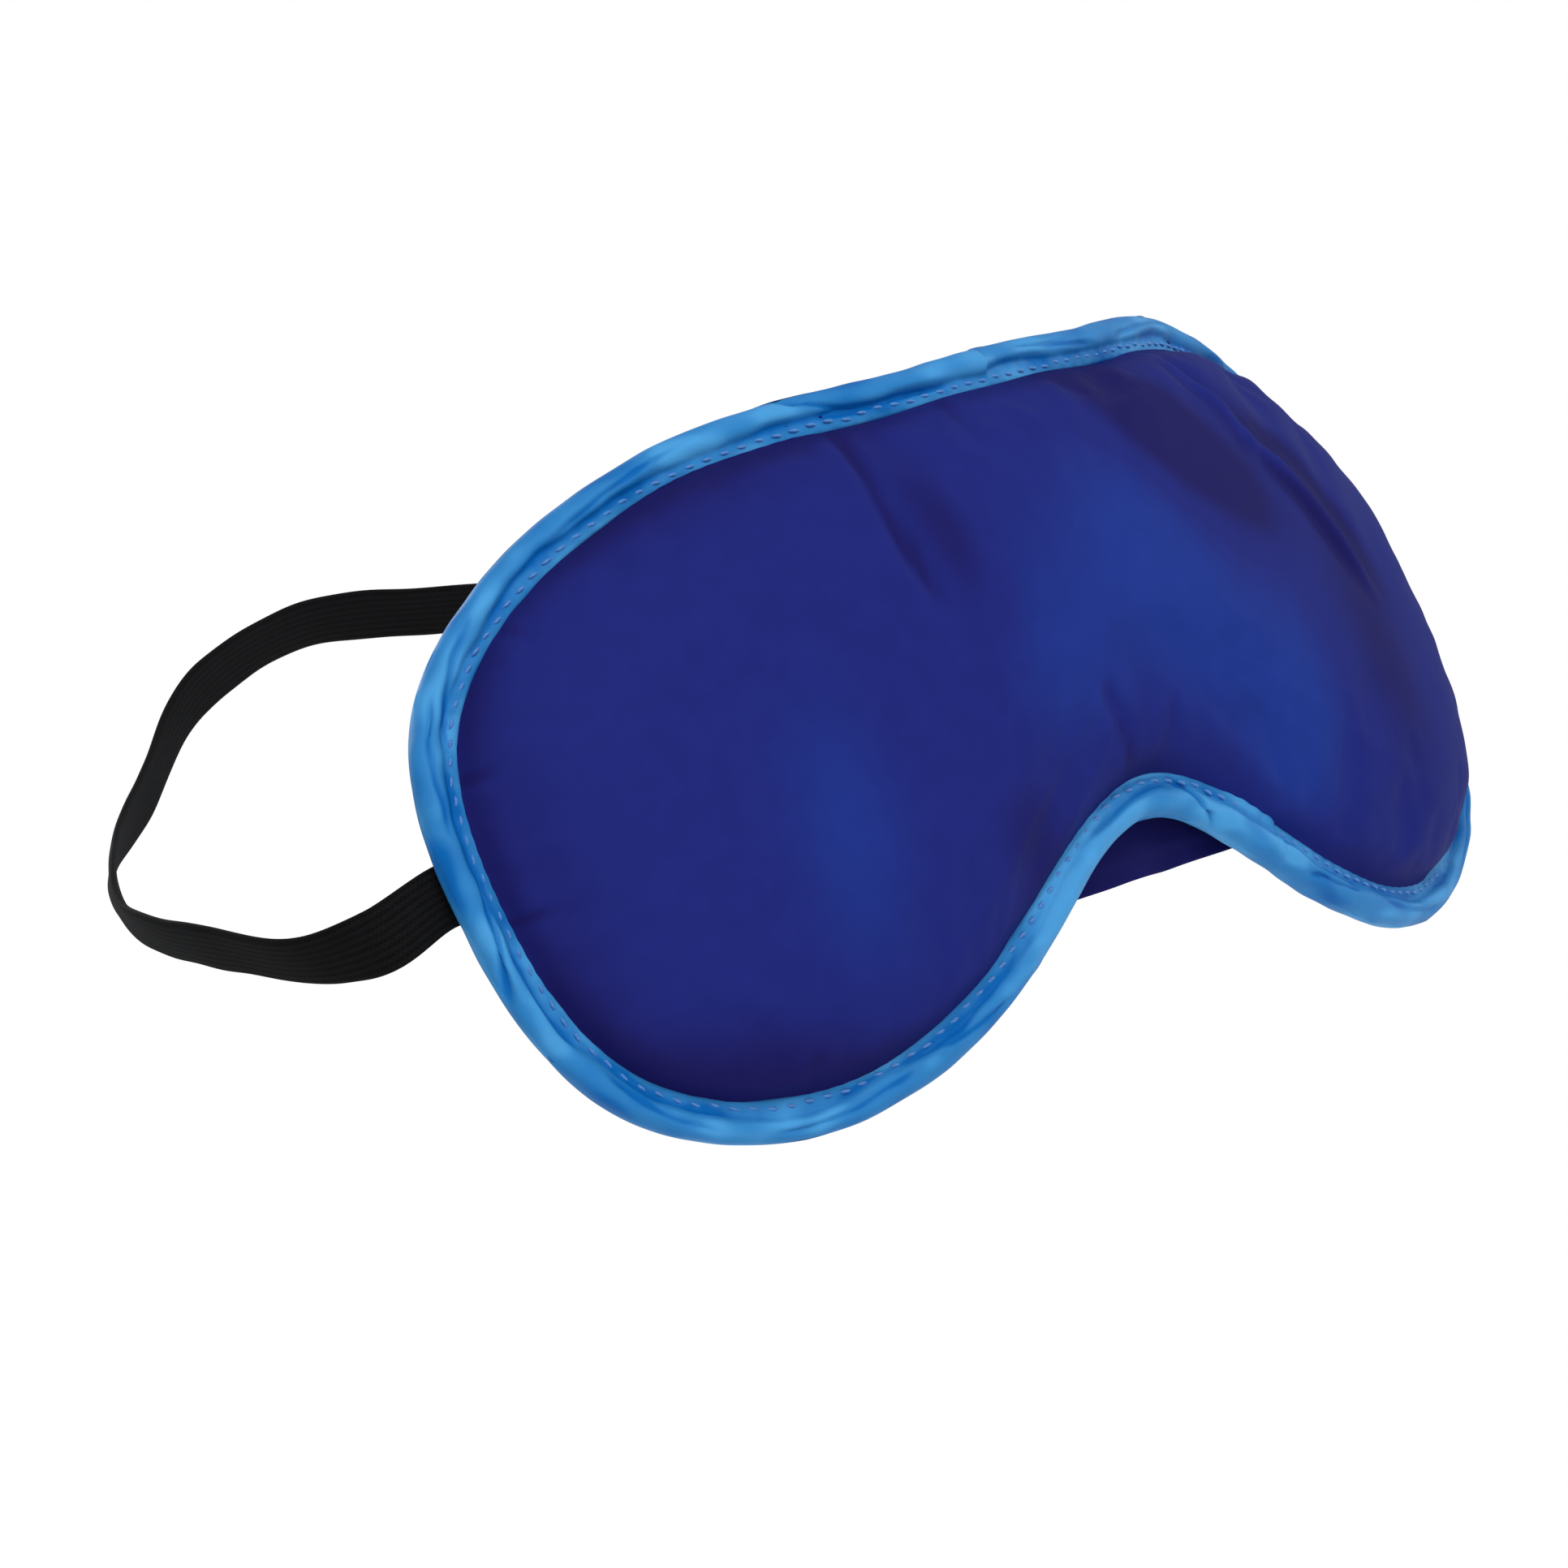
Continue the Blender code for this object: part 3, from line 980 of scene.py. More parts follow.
@dataclass
class PaddedBody:
    """The front satin, the wadding and the lining, which share one lattice."""

    pattern: MaskPattern
    layers: Layers
    columns: int = 156
    rows: int = 78
    inset: float = 0.0030
    cap: float = 0.0042
    settle_frames: int = 20
    pressure: float = 3.0
    front_puckers: float = 0.00034
    back_puckers: float = 0.00030
    lining_waves: float = 0.00028
    # Tone per metre of fold height: a painted highlight on ridges and painted shade in creases.
    fold_light_and_shade: float = 600.0
    # rim_shade and rim_width: painted shade on the front satin along the binding, how much and how
    # far in.
    rim_shade: float = 0.5
    rim_width: float = 0.0022
    wadding_front_gap: float = 0.0010
    wadding_back_gap: float = 0.0006
    folds: tuple[Fold, ...] = (
        Fold((-0.0268, 0.0425), (-0.0260, 0.0120), -0.0015, 0.0011, bow=-0.0022, lip=0.15),
        Fold((-0.0300, 0.0400), (-0.0280, 0.0250), 0.0005, 0.0016),
        Fold((-0.0100, 0.0410), (-0.0125, 0.0325), -0.0008, 0.0010),
        Fold((-0.0085, -0.0005), (-0.0030, -0.0130), -0.0012, 0.0011),
        Fold((0.0040, -0.0040), (0.0020, -0.0130), -0.0005, 0.0009),
        Fold((0.0330, 0.0400), (0.0362, 0.0195), 0.0016, 0.0011, lip=0.5),
        Fold((0.0340, 0.0262), (0.0560, 0.0000), 0.0024, 0.0011, bow=0.0012, lip=0.5),
        Fold((0.0390, 0.0290), (0.0600, 0.0030), -0.0008, 0.0024, bow=0.0012),
        Fold((-0.0628, -0.0402), (-0.0596, -0.0318), -0.0010, 0.0008),
        Fold((-0.0935, 0.0139), (-0.0858, 0.0128), -0.0010, 0.0008),
        Fold((-0.0935, -0.0047), (-0.0862, -0.0056), -0.0009, 0.0007),
        Fold((-0.0800, 0.0325), (-0.0740, 0.0270), -0.0007, 0.0008),
        Fold((-0.0410, -0.0430), (-0.0425, -0.0355), -0.0007, 0.0007),
        Fold((-0.0260, -0.0330), (-0.0305, -0.0270), -0.0008, 0.0008),
        Fold((0.0050, 0.0460), (0.0068, 0.0395), -0.0006, 0.0009),
        Fold((-0.0560, 0.0450), (-0.0545, 0.0390), -0.0005, 0.0008),
        Fold((0.0300, -0.0350), (0.0290, -0.0280), -0.0005, 0.0008),
        Fold((0.0880, 0.0060), (0.0800, 0.0050), -0.0005, 0.0008),
    )
    # Patches of painted sheen and painted shade laid on the front satin.
    painted_light_patches: tuple[PaintedLightPatch, ...] = (
        PaintedLightPatch((-0.048, -0.009), (0.008, 0.020), 0.60, -8),
        PaintedLightPatch((0.004, 0.014), (0.012, 0.016), 0.9, 20),
        PaintedLightPatch((-0.014, 0.004), (0.010, 0.016), 0.6, 10),
        PaintedLightPatch((0.013, -0.002), (0.009, 0.010), 0.5),
        PaintedLightPatch((0.025, -0.014), (0.009, 0.017), 1.0),
        PaintedLightPatch((0.017, 0.029), (0.0075, 0.012), -2.0, 25),
        PaintedLightPatch((0.027, 0.018), (0.0060, 0.010), -1.0, 40),
        PaintedLightPatch((0.048, 0.015), (0.0045, 0.016), -1.3, 40),
        PaintedLightPatch((0.050, -0.006), (0.010, 0.020), -0.8, 10),
        PaintedLightPatch((-0.004, -0.010), (0.009, 0.006), -0.5),
        PaintedLightPatch((-0.023, -0.016), (0.007, 0.007), -0.8, 40),
        PaintedLightPatch((-0.0225, 0.022), (0.004, 0.012), -0.8, 8),
        PaintedLightPatch((-0.085, 0.000), (0.006, 0.040), -0.4),
        PaintedLightPatch((-0.066, -0.034), (0.024, 0.007), -0.9, -12),
        PaintedLightPatch((-0.052, 0.040), (0.030, 0.006), -0.5),
    )
    flat: np.ndarray = field(init=False)
    depth: np.ndarray = field(init=False)
    front_shape: np.ndarray = field(init=False)
    back_shape: np.ndarray = field(init=False)

    def __post_init__(self) -> None:
        """Lays out the shared lattice and how far in each point lies."""
        self.flat = self.pattern.patch(self.columns, self.rows, self.inset)
        reach = self.layers.binding_width - self.inset
        self.depth = self.pattern.edge_distance(self.flat, self.inset) - reach

    def rise(self, reach: float) -> np.ndarray:
        """How far the filling lifts the cloth: a quarter circle over reach from the binding."""
        short = np.clip(1 - np.maximum(self.depth, 0.0) / reach, 0, 1)
        return np.sqrt(1 - short**2)

    def puckers(self, seed: int, size: float) -> np.ndarray:
        """Short gathers that run in from the binding and fade.

        Args:
            seed: Chooses the gathers.
            size: Their height.

        Returns:
            Heights: waves counted round the outline times a fade with distance inwards.
        """
        angle = np.arctan2(self.flat[..., 1] - 0.006, self.flat[..., 0] * 0.55)
        wave = ripples(angle * 0.05, self.depth, 0.0062, seed, count=6, slant=0.35)
        gathered = np.clip(wave, -0.6, 1.6)
        return size * gathered * np.exp(-np.maximum(self.depth, 0.0) / 0.0075)

    def surface(self, height: np.ndarray) -> np.ndarray:
        """The lattice in space at a height from the middle layer."""
        return self.pattern.wrap(self.flat[..., 0], self.flat[..., 1], height)

    def inflated(self, rest: np.ndarray, push: float, seed: int) -> np.ndarray:
        """Fills a sewn-down sheet with air as cloth.

        The sheet is held under the binding, gravity is off, the cloth is cut a little larger
        than the shape that it covers, and the pressure lifts it until it is tight.

        Args:
            rest: The sheet's lattice in space.
            push: The pressure, positive along its normals.
            seed: Chooses the slight unevenness that starts the wrinkles.

        Returns:
            The lattice after the cloth has settled, with each point's move capped.
        """
        start = rest + lattice_normals(rest) * (
            ripples(self.flat[..., 0], self.flat[..., 1], 0.03, seed, 7, 1.5) * 0.00012
        )[..., None]
        mesh = lattice_mesh("settling_cloth", start)
        body = bpy.data.objects.new("settling_cloth", mesh)
        bpy.context.scene.collection.objects.link(body)
        held = body.vertex_groups.new(name="held")
        held.add(np.flatnonzero(self.depth.ravel() <= 0.0004).tolist(), 1.0, "REPLACE")
        cloth = body.modifiers.new("cloth", "CLOTH")
        settings = cloth.settings
        for name, value in SATIN_CLOTH.items():
            setattr(settings, name, value)
        settings.vertex_group_mass = held.name
        settings.uniform_pressure_force = push
        settings.effector_weights.gravity = 0.0
        cloth.collision_settings.use_collision = False
        cloth.point_cache.frame_start, cloth.point_cache.frame_end = 1, self.settle_frames
        for step in range(1, self.settle_frames + 1):
            bpy.context.scene.frame_set(step)
        settled = body.evaluated_get(bpy.context.evaluated_depsgraph_get()).data
        places = np.zeros(len(settled.vertices) * 3)
        settled.vertices.foreach_get("co", places)
        bpy.data.objects.remove(body)
        bpy.context.scene.frame_set(1)
        move = places.reshape(rest.shape) - rest
        length = np.linalg.norm(move, axis=-1, keepdims=True)
        LOG.info("cloth moved %.1f mm at most", length.max() * 1000)
        return rest + move * np.minimum(1.0, self.cap / np.maximum(length, 1e-9))

    def build_front(self) -> bpy.types.Object:
        """Builds the padded front panel of navy satin.

        Returns:
            The panel, lifted as cloth and then creased, with patches of painted sheen and shade,
            painted highlights on its ridges and painted shade in its creases and at its rim.
        """
        crown = self.layers.front_crown * self.rise(self.layers.front_reach)
        base = self.surface(self.layers.stack_half + crown)
        shape = self.inflated(base, self.pressure, 11)
        folds = sum(fold.height(self.flat) for fold in self.folds)
        ease = smooth_step(-0.0002, 0.0030, self.depth)
        detail = (folds + self.puckers(5, self.front_puckers)) * ease
        shape = shape + lattice_normals(shape) * detail[..., None]
        self.front_shape = shape
        mesh = lattice_mesh("front_panel_satin", shape, self.flat)
        tone = sum(light_patch.tone(self.flat) for light_patch in self.painted_light_patches)
        # Painted light from the folds: highlights on ridges, shade in creases.
        tone = tone + folds * self.fold_light_and_shade
        # Painted shade along the rim, where the panel meets the binding.
        set_tone(mesh, tone - self.rim_shade * bell(self.depth, self.rim_width))
        piece = add_piece("front_panel_satin", mesh, NAVY_SATIN.material())
        finish_sheet(piece, self.layers.cloth, 1)
        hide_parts("front_panel")
        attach(piece, "mask")
        return piece

    def build_lining(self) -> bpy.types.Object:
        """Builds the lining that lies on the face.

        Returns:
            The lining, with low, broad waves.
        """
        crown = self.layers.back_crown * self.rise(self.layers.back_reach)
        u, v = self.flat[..., 0], self.flat[..., 1]
        wave = ripples(u, v, 0.022, 23, 6, 1.2) * self.lining_waves
        detail = wave + self.puckers(8, self.back_puckers)
        height = self.layers.stack_half + crown + detail * smooth_step(0.0, 0.006, self.depth)
        shape = self.surface(-height)
        self.back_shape = shape
        mesh = lattice_mesh("lining_satin", shape, self.flat)
        # The lining's tone: random patches, less a painted shade along the binding.
        patches = 0.6 * ripples(u, v, 0.050, 41, 5, 1.2)
        set_tone(mesh, patches - 0.6 * bell(self.depth, 0.0025))
        mesh.flip_normals()
        piece = add_piece("back_lining_satin", mesh, LINING_SATIN.material())
        finish_sheet(piece, self.layers.cloth, 1)
        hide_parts("back_lining")
        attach(piece, "mask")
        return piece

    def build_wadding(self) -> bpy.types.Object:
        """Builds the wadding that is sewn in between.

        Returns:
            The wadding, a closed pad just inside both cloths.
        """
        inside = slice(2, -2, 2)
        front = self.front_shape[inside, inside]
        back = self.back_shape[inside, inside]
        front = front - lattice_normals(front) * self.wadding_front_gap
        back = back + lattice_normals(back) * self.wadding_back_gap
        mesh = pad_mesh("wadding", front, back)
        piece = add_piece("wadding", face_out(mesh), WaddingFinish().material())
        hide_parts("padding")
        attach(piece, "mask")
        return piece


def finish_sheet(piece: bpy.types.Object, thickness: float, levels: int) -> None:
    """Rounds a sheet with subdivision and gives it its thickness, inwards.

    Args:
        piece: The sheet.
        thickness: The cloth's thickness.
        levels: Levels of subdivision.
    """
    smooth = piece.modifiers.new("rounding", "SUBSURF")
    smooth.levels = smooth.render_levels = levels
    wall = piece.modifiers.new("thickness", "SOLIDIFY")
    wall.thickness = thickness
    wall.offset = -1.0


@dataclass(frozen=True)
class TapeCrease:
    """A groove in the tape between two places, each a distance round and a distance in, in mm."""

    start: tuple[float, float]
    end: tuple[float, float]
    depth: float = 0.45
    width: float = 0.40

    def reach(self, s: np.ndarray, inset: np.ndarray) -> np.ndarray:
        """The groove's strength at points of the tape.

        Args:
            s: Distance round the outline in metres.
            inset: Distance in from the edge in metres.

        Returns:
            1 on the groove's line, falling off across it as a bell and easing at both ends.
        """
        t = (s * 1000 - self.start[0]) / (self.end[0] - self.start[0])
        line = self.start[1] + (self.end[1] - self.start[1]) * t
        ends = smooth_step(-0.08, 0.18, t) * (1 - smooth_step(0.82, 1.08, t))
        return ends * bell(inset * 1000 - line, self.width)


@dataclass
class EdgeBinding:
    """The folded satin tape round the edge, and its two lines of stitches.

    Across holds the tape's section in mm: distances in from the edge, and heights.
    """

    pattern: MaskPattern
    layers: Layers
    steps: int = 1100
    pitch: float = 0.0025
    thread_radius: float = 0.00025
    front_level: float = 0.00150
    back_level: float = -0.00166
    hem_shift: float = 0.0006
    across: tuple[tuple[float, float], ...] = (
        (5.42, 1.16), (5.18, 1.50), (4.50, 1.62), (3.85, 1.52), (3.35, 1.52),
        (2.90, 1.92), (2.20, 2.28), (1.25, 2.12), (0.42, 1.50), (-0.02, 0.60),
        (-0.02, -0.60), (0.45, -1.45), (1.40, -1.95), (2.50, -1.95), (3.55, -1.55),
        (4.40, -1.72), (5.00, -1.60), (5.35, -1.25), (4.80, -1.12), (3.00, -1.10),
        (1.30, -0.90), (0.90, 0.00), (1.30, 0.90), (3.00, 1.10), (4.80, 1.10),
    )
    fold_inset: float = 0.0032
    fold_wander: float = 0.00028
    full_length: float = 0.4972
    lap_place: float = 0.2248
    lap_height: float = 0.00040
    lap_width: float = 0.0009
    nose_place: float = 0.257
    crease_shade: float = 2600.0
    creases: tuple[TapeCrease, ...] = (
        TapeCrease((362, 0.0), (378, 3.6), 0.65, 0.42),
        TapeCrease((352, 2.8), (368, 3.2), 0.50, 0.35),
        TapeCrease((237, 0.2), (245, 4.6), 0.60, 0.42),
        TapeCrease((243, 4.5), (276, 5.2), 0.25, 0.30),
        TapeCrease((471, 3.3), (490, 3.7), 0.45, 0.40),
        TapeCrease((466, 0.2), (476, 4.0), 0.40, 0.35),
        TapeCrease((384, 2.1), (403, 1.0), 0.35, 0.40),
        TapeCrease((396, 3.7), (414, 1.3), 0.45, 0.45),
        TapeCrease((330, 1.2), (348, 2.6), 0.30, 0.35),
        TapeCrease((300, 2.4), (322, 1.0), 0.35, 0.35),
        TapeCrease((284, 0.8), (296, 2.6), 0.30, 0.30),
        TapeCrease((206, 2.6), (219, 0.6), 0.35, 0.35),
        TapeCrease((180, 1.0), (199, 2.4), 0.35, 0.40),
        TapeCrease((150, 2.4), (168, 1.2), 0.35, 0.35),
        TapeCrease((118, 0.8), (134, 2.6), 0.40, 0.35),
        TapeCrease((84, 2.2), (108, 1.0), 0.35, 0.40),
        TapeCrease((60, 0.8), (74, 2.6), 0.30, 0.35),
        TapeCrease((30, 2.4), (50, 1.2), 0.35, 0.35),
        TapeCrease((6, 1.0), (22, 2.6), 0.35, 0.35),
        TapeCrease((430, 2.6), (452, 1.2), 0.30, 0.35),
    )

    def build(self) -> list[bpy.types.Object]:
        """Builds the tape, the front stitches and the back stitches."""
        return [self._tape(), *self._stitches()]

    def _tape(self) -> bpy.types.Object:
        """Builds the tape.

        Returns:
            The tape: a rounded fold carried round the outline, creased and wrinkled.
        """
        place, length = self.pattern.places(self.steps)
        knots = np.array(self.across) / 1000
        spots = np.linspace(0, len(knots), 84, endpoint=False)
        section = periodic_spline(knots, spots)[0]
        s = (np.arange(self.steps) * length / self.steps)[:, None]
        inset, height = section[None, :, 0], section[None, :, 1]
        tone = self._tone(s, inset, height)
        inset, height = self._wrinkled(s, inset, height, length)
        flat = self.pattern.outline(np.broadcast_to(place[:, None], inset.shape), inset)
        points = self.pattern.wrap(flat[..., 0], flat[..., 1], height)
        uv = self._uv(length, section)
        mesh = lattice_mesh("edge_binding_tape", points, uv, round_rows=True, round_columns=True)
        set_tone(mesh, tone)
        piece = add_piece("edge_binding_tape", face_out(mesh), TAPE_SATIN.material())
        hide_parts("edge_binding")
        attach(piece, "mask")
        return piece

    def _fold_line(self, s: np.ndarray) -> np.ndarray:
        """How far in the groove beside the stitches lies, wandering round the outline."""
        return self.fold_inset + self.fold_wander * ripples(s, 0 * s, 0.034, 17, 4, 0.0)

    def _facets(self, s: np.ndarray, inset: np.ndarray) -> np.ndarray:
        """The long slanted waves that the tape's flat stretches and its light and shade share."""
        return ripples(s, inset * 3.0, 0.030, 9, 4, 2.2)

    def _creased(self, s: np.ndarray, inset: np.ndarray, height: np.ndarray) -> np.ndarray:
        """The depth of all the tape's creases at its points, on the front only, in metres."""
        front = smooth_step(0.0, 0.0008, height)
        return front * sum(c.depth / 1000 * c.reach(s, inset) for c in self.creases)

    def _tone(self, s: np.ndarray, inset: np.ndarray, height: np.ndarray) -> np.ndarray:
        """Painted light on the tape: painted sheen and shade on its rolled stretches, long painted
        sheen streaks, a painted highlight at the nose notch and along the hem, and painted shade in
        the groove by the stitches, on its inner band, at its outer fold and in its creases.

        Args:
            s: Distance round the outline.
            inset: The section's distances in from the edge.
            height: The section's heights.

        Returns:
            A tone for each point.
        """
        front = (height > 0) * 1.0
        groove = inset - self._fold_line(s)
        # Painted shade in the groove by the stitches, and over the inner band in from it (the lap
        # term).
        groove_shade = bell(groove - 0.0002, 0.00055) * np.clip(
            0.95 + 0.5 * ripples(s, 0 * s, 0.040, 19, 4, 0.0), 0.35, 1.4
        )
        lap = smooth_step(0.0, 0.0010, groove) * 0.35
        # Painted sheen and shade on the rolled stretches, and long painted sheen streaks.
        rolled = 0.30 + 0.40 * np.tanh(3.0 * self._facets(s, inset))
        streaks = 0.30 * ripples(s * 0.08, inset, 0.0009, 21, 5, 0.3)
        # A painted highlight along the hem's inner edge and painted shade at the outer fold, and a
        # painted highlight at the nose notch.
        hem = 0.35 * bell(inset - 0.0050, 0.0004) - 0.45 * bell(inset, 0.0006)
        nose = bell(s - self.nose_place, 0.018)
        tone = rolled + nose + streaks + front * (hem - groove_shade - lap)
        return tone - self.crease_shade * self._creased(s, inset, height)

    def _wrinkled(
        self, s: np.ndarray, inset: np.ndarray, height: np.ndarray, length: float
    ) -> tuple[np.ndarray, np.ndarray]:
        """Adds the pull of the stitches, slanted wrinkles, the creases and the lapped end.

        Args:
            s: Distance round the outline.
            inset: The section's distances in from the edge.
            height: The section's heights.
            length: The outline's whole length.

        Returns:
            The changed distances and heights.
        """
        side = np.sign(height)
        front = smooth_step(0.0, 0.0008, height)
        outer = smooth_step(0.0052, 0.0030, inset)
        skin = np.clip(smooth_step(0.0011, 0.0013, np.abs(height)) + (inset < 0.0008), 0, 1)
        line = bell(inset - self.layers.stitch_inset, 0.0008)
        pull = np.cos(math.tau * s / self.pitch) * line * 0.00010
        slanted = ripples(s, inset * 1.2, 0.0085, 3, 6, 1.6) * 0.00012
        faceted = (0.40 - np.abs(self._facets(s, inset))) * 0.00030
        broad = ripples(s, inset, 0.032, 4, 4, 0.5) * 0.00022
        hollow = self._creased(s, inset, height)
        bends = slanted - np.clip(faceted, -0.00015, 0.00012) + broad
        wander = (self._fold_line(s) - self.fold_inset) * bell(inset - self.fold_inset, 0.0011)
        height = height + side * skin * (pull + outer * bends) - skin * hollow
        shifted = front * wander + (slanted * 0.8 + broad) * outer * 0.6 + hollow * (inset < 0.0012)
        inset = inset + skin * shifted
        lap = self.lap_place * length / self.full_length
        step = smooth_step(-0.0003, 0.0003, s - lap - (inset - 0.0027) * 0.5)
        fade = 1 - smooth_step(0.006, 0.013, s - lap)
        height = height + front * skin * step * fade * self.lap_height
        wide = smooth_step(0.0040, 0.0054, inset) * self.lap_width * step * fade
        return inset + front * wide, height

    def _uv(self, length: float, section: np.ndarray) -> np.ndarray:
        """Lays the tape out flat.

        Args:
            length: The outline's whole length.
            section: The tape's section.

        Returns:
            For each point and each seam, the distance round the outline and across the tape.
        """
        girth = run_lengths(np.vstack([section, section[:1]]))
        s = np.linspace(0, length, self.steps + 1)
        return np.stack(np.meshgrid(s, girth, indexing="ij"), -1)

    def _stitches(self) -> list[bpy.types.Object]:
        """Builds the two lines of stitches, each stitch a short bowed thread.

        Returns:
            The front stitches and the back stitches.
        """
        made = []
        back_inset = self.layers.back_stitch_inset + self.hem_shift
        for name, node, inset, level in (
            ("front_stitches", "binding_topstitch", self.layers.stitch_inset, self.front_level),
            ("back_stitches", "binding_backstitch", back_inset, self.back_level),
        ):
            _, length = self.pattern.places(8, inset)
            count = round(length / self.pitch)
            points = self._stitch_points(inset, level, count)
            piece = thread_piece(name, points, TAPE_THREAD)
            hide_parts(node)
            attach(piece, "mask")
            made.append(piece)
        return made

    def _stitch_points(self, inset: float, level: float, count: int) -> np.ndarray:
        """Points of the stitches on one line.

        Each stitch spans 60% of the pitch. Its middle line bows up from level as a parabola, and
        its round section narrows to the ends.

        Args:
            inset: How far in the line lies.
            level: The height that the stitch's ends dip to.
            count: Stitches on the line.

        Returns:
            Stitches by rings by corners by 3.
        """
        parts = 20
        t, sideways, upwards = thread_shape(self.thread_radius)
        starts, _ = self.pattern.places(count * parts, inset)
        place = np.append(starts, len(self.pattern.knots()))
        along = np.arange(count)[:, None, None] * float(parts)
        at = np.mod(along + parts / 2 + t * parts * 0.3, count * parts)
        place = np.interp(at, np.arange(count * parts + 1), place)
        side = math.copysign(1.0, level)
        height = level + side * (0.00014 * (1 - t**2) + upwards)
        stray = np.random.default_rng(12).normal(0.0, 0.00010, (count, 1, 1))
        reach = inset + stray + sideways + 0.00012 * t
        place, reach, height = np.broadcast_arrays(place, reach, height)
        flat = self.pattern.outline(place, reach)
        return self.pattern.wrap(flat[..., 0], flat[..., 1], height)


@dataclass
class NoseFlap:
    """The doubled satin flap behind the nose notch and the seam that holds it."""

    pattern: MaskPattern
    layers: Layers
    width: float = 0.060
    top: float = 0.002
    bottom: float = -0.0248
    cloth: float = 0.0009
    columns: int = 96
    rows: int = 44
    hem_rise: float = 0.00030
    hang_out: float = 0.0010
    seam_stitches: int = 34
    thread_radius: float = 0.00021

    def front_height(self) -> float:
        """The height of the flap's front face, behind the lining."""
        return -(self.layers.stack_half + self.layers.back_crown + self.layers.gap)

    def build(self) -> list[bpy.types.Object]:
        """Builds the flap and its seam.

        Returns:
            The flap, hung from its seam with a folded hem, and the seam's stitches.
        """
        a = np.linspace(-0.5, 0.5, self.columns)[None, :]
        b = np.linspace(0.0, 1.0, self.rows)[:, None]
        low = self.bottom + 0.0010 * smooth_step(0.36, 0.5, np.abs(a))
        u = a * self.width * (1 - 0.02 * (1 - b))
        v = low + (self.top - low) * b
        free = 1 - b
        wave = ripples(u, v, 0.016, 31, 5, 0.4) * 0.0004 * free
        hem = self.hem_rise * (1 - smooth_step(0.0022, 0.0028, v - low))
        height = self.front_height() - self.cloth - wave - self.hang_out * free**2
        points = self.pattern.wrap(u, v, height - hem)
        flat = np.stack(np.broadcast_arrays(u, v), -1)
        mesh = lattice_mesh("nose_flap_satin", points, flat)
        mesh.flip_normals()
        piece = add_piece("nose_flap_satin", mesh, SHADED_FLAP_SATIN.material())
        finish_sheet(piece, self.cloth, 1)
        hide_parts("nose_flap")
        seam = self._seam()
        top = self.pattern.wrap(0.0, self.top - 0.0005, self.front_height())
        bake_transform(piece)
        return [piece, seam]

    def _seam(self) -> bpy.types.Object:
        """Builds the seam.

        Returns:
            A close row of slanted stitches over the flap's top edge.
        """
        middle = np.linspace(-0.485, 0.485, self.seam_stitches)[:, None, None] * self.width
        t, sideways, upwards = thread_shape(self.thread_radius)
        u = middle + 0.00045 * t + sideways
        v = self.top + 0.0002 + 0.0009 * t
        level = self.front_height() - 0.00050
        w = level - 0.00035 * (1 - t**2) - upwards
        piece = thread_piece("nose_flap_stitches", self.pattern.wrap(u, v, w), SEAM_THREAD)
        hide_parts("nose_flap_seam")
        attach(piece, "mask")
        return piece


class Side(Enum):
    """The mask's two tips, by the sign of their x."""

    LEFT = -1
    RIGHT = 1


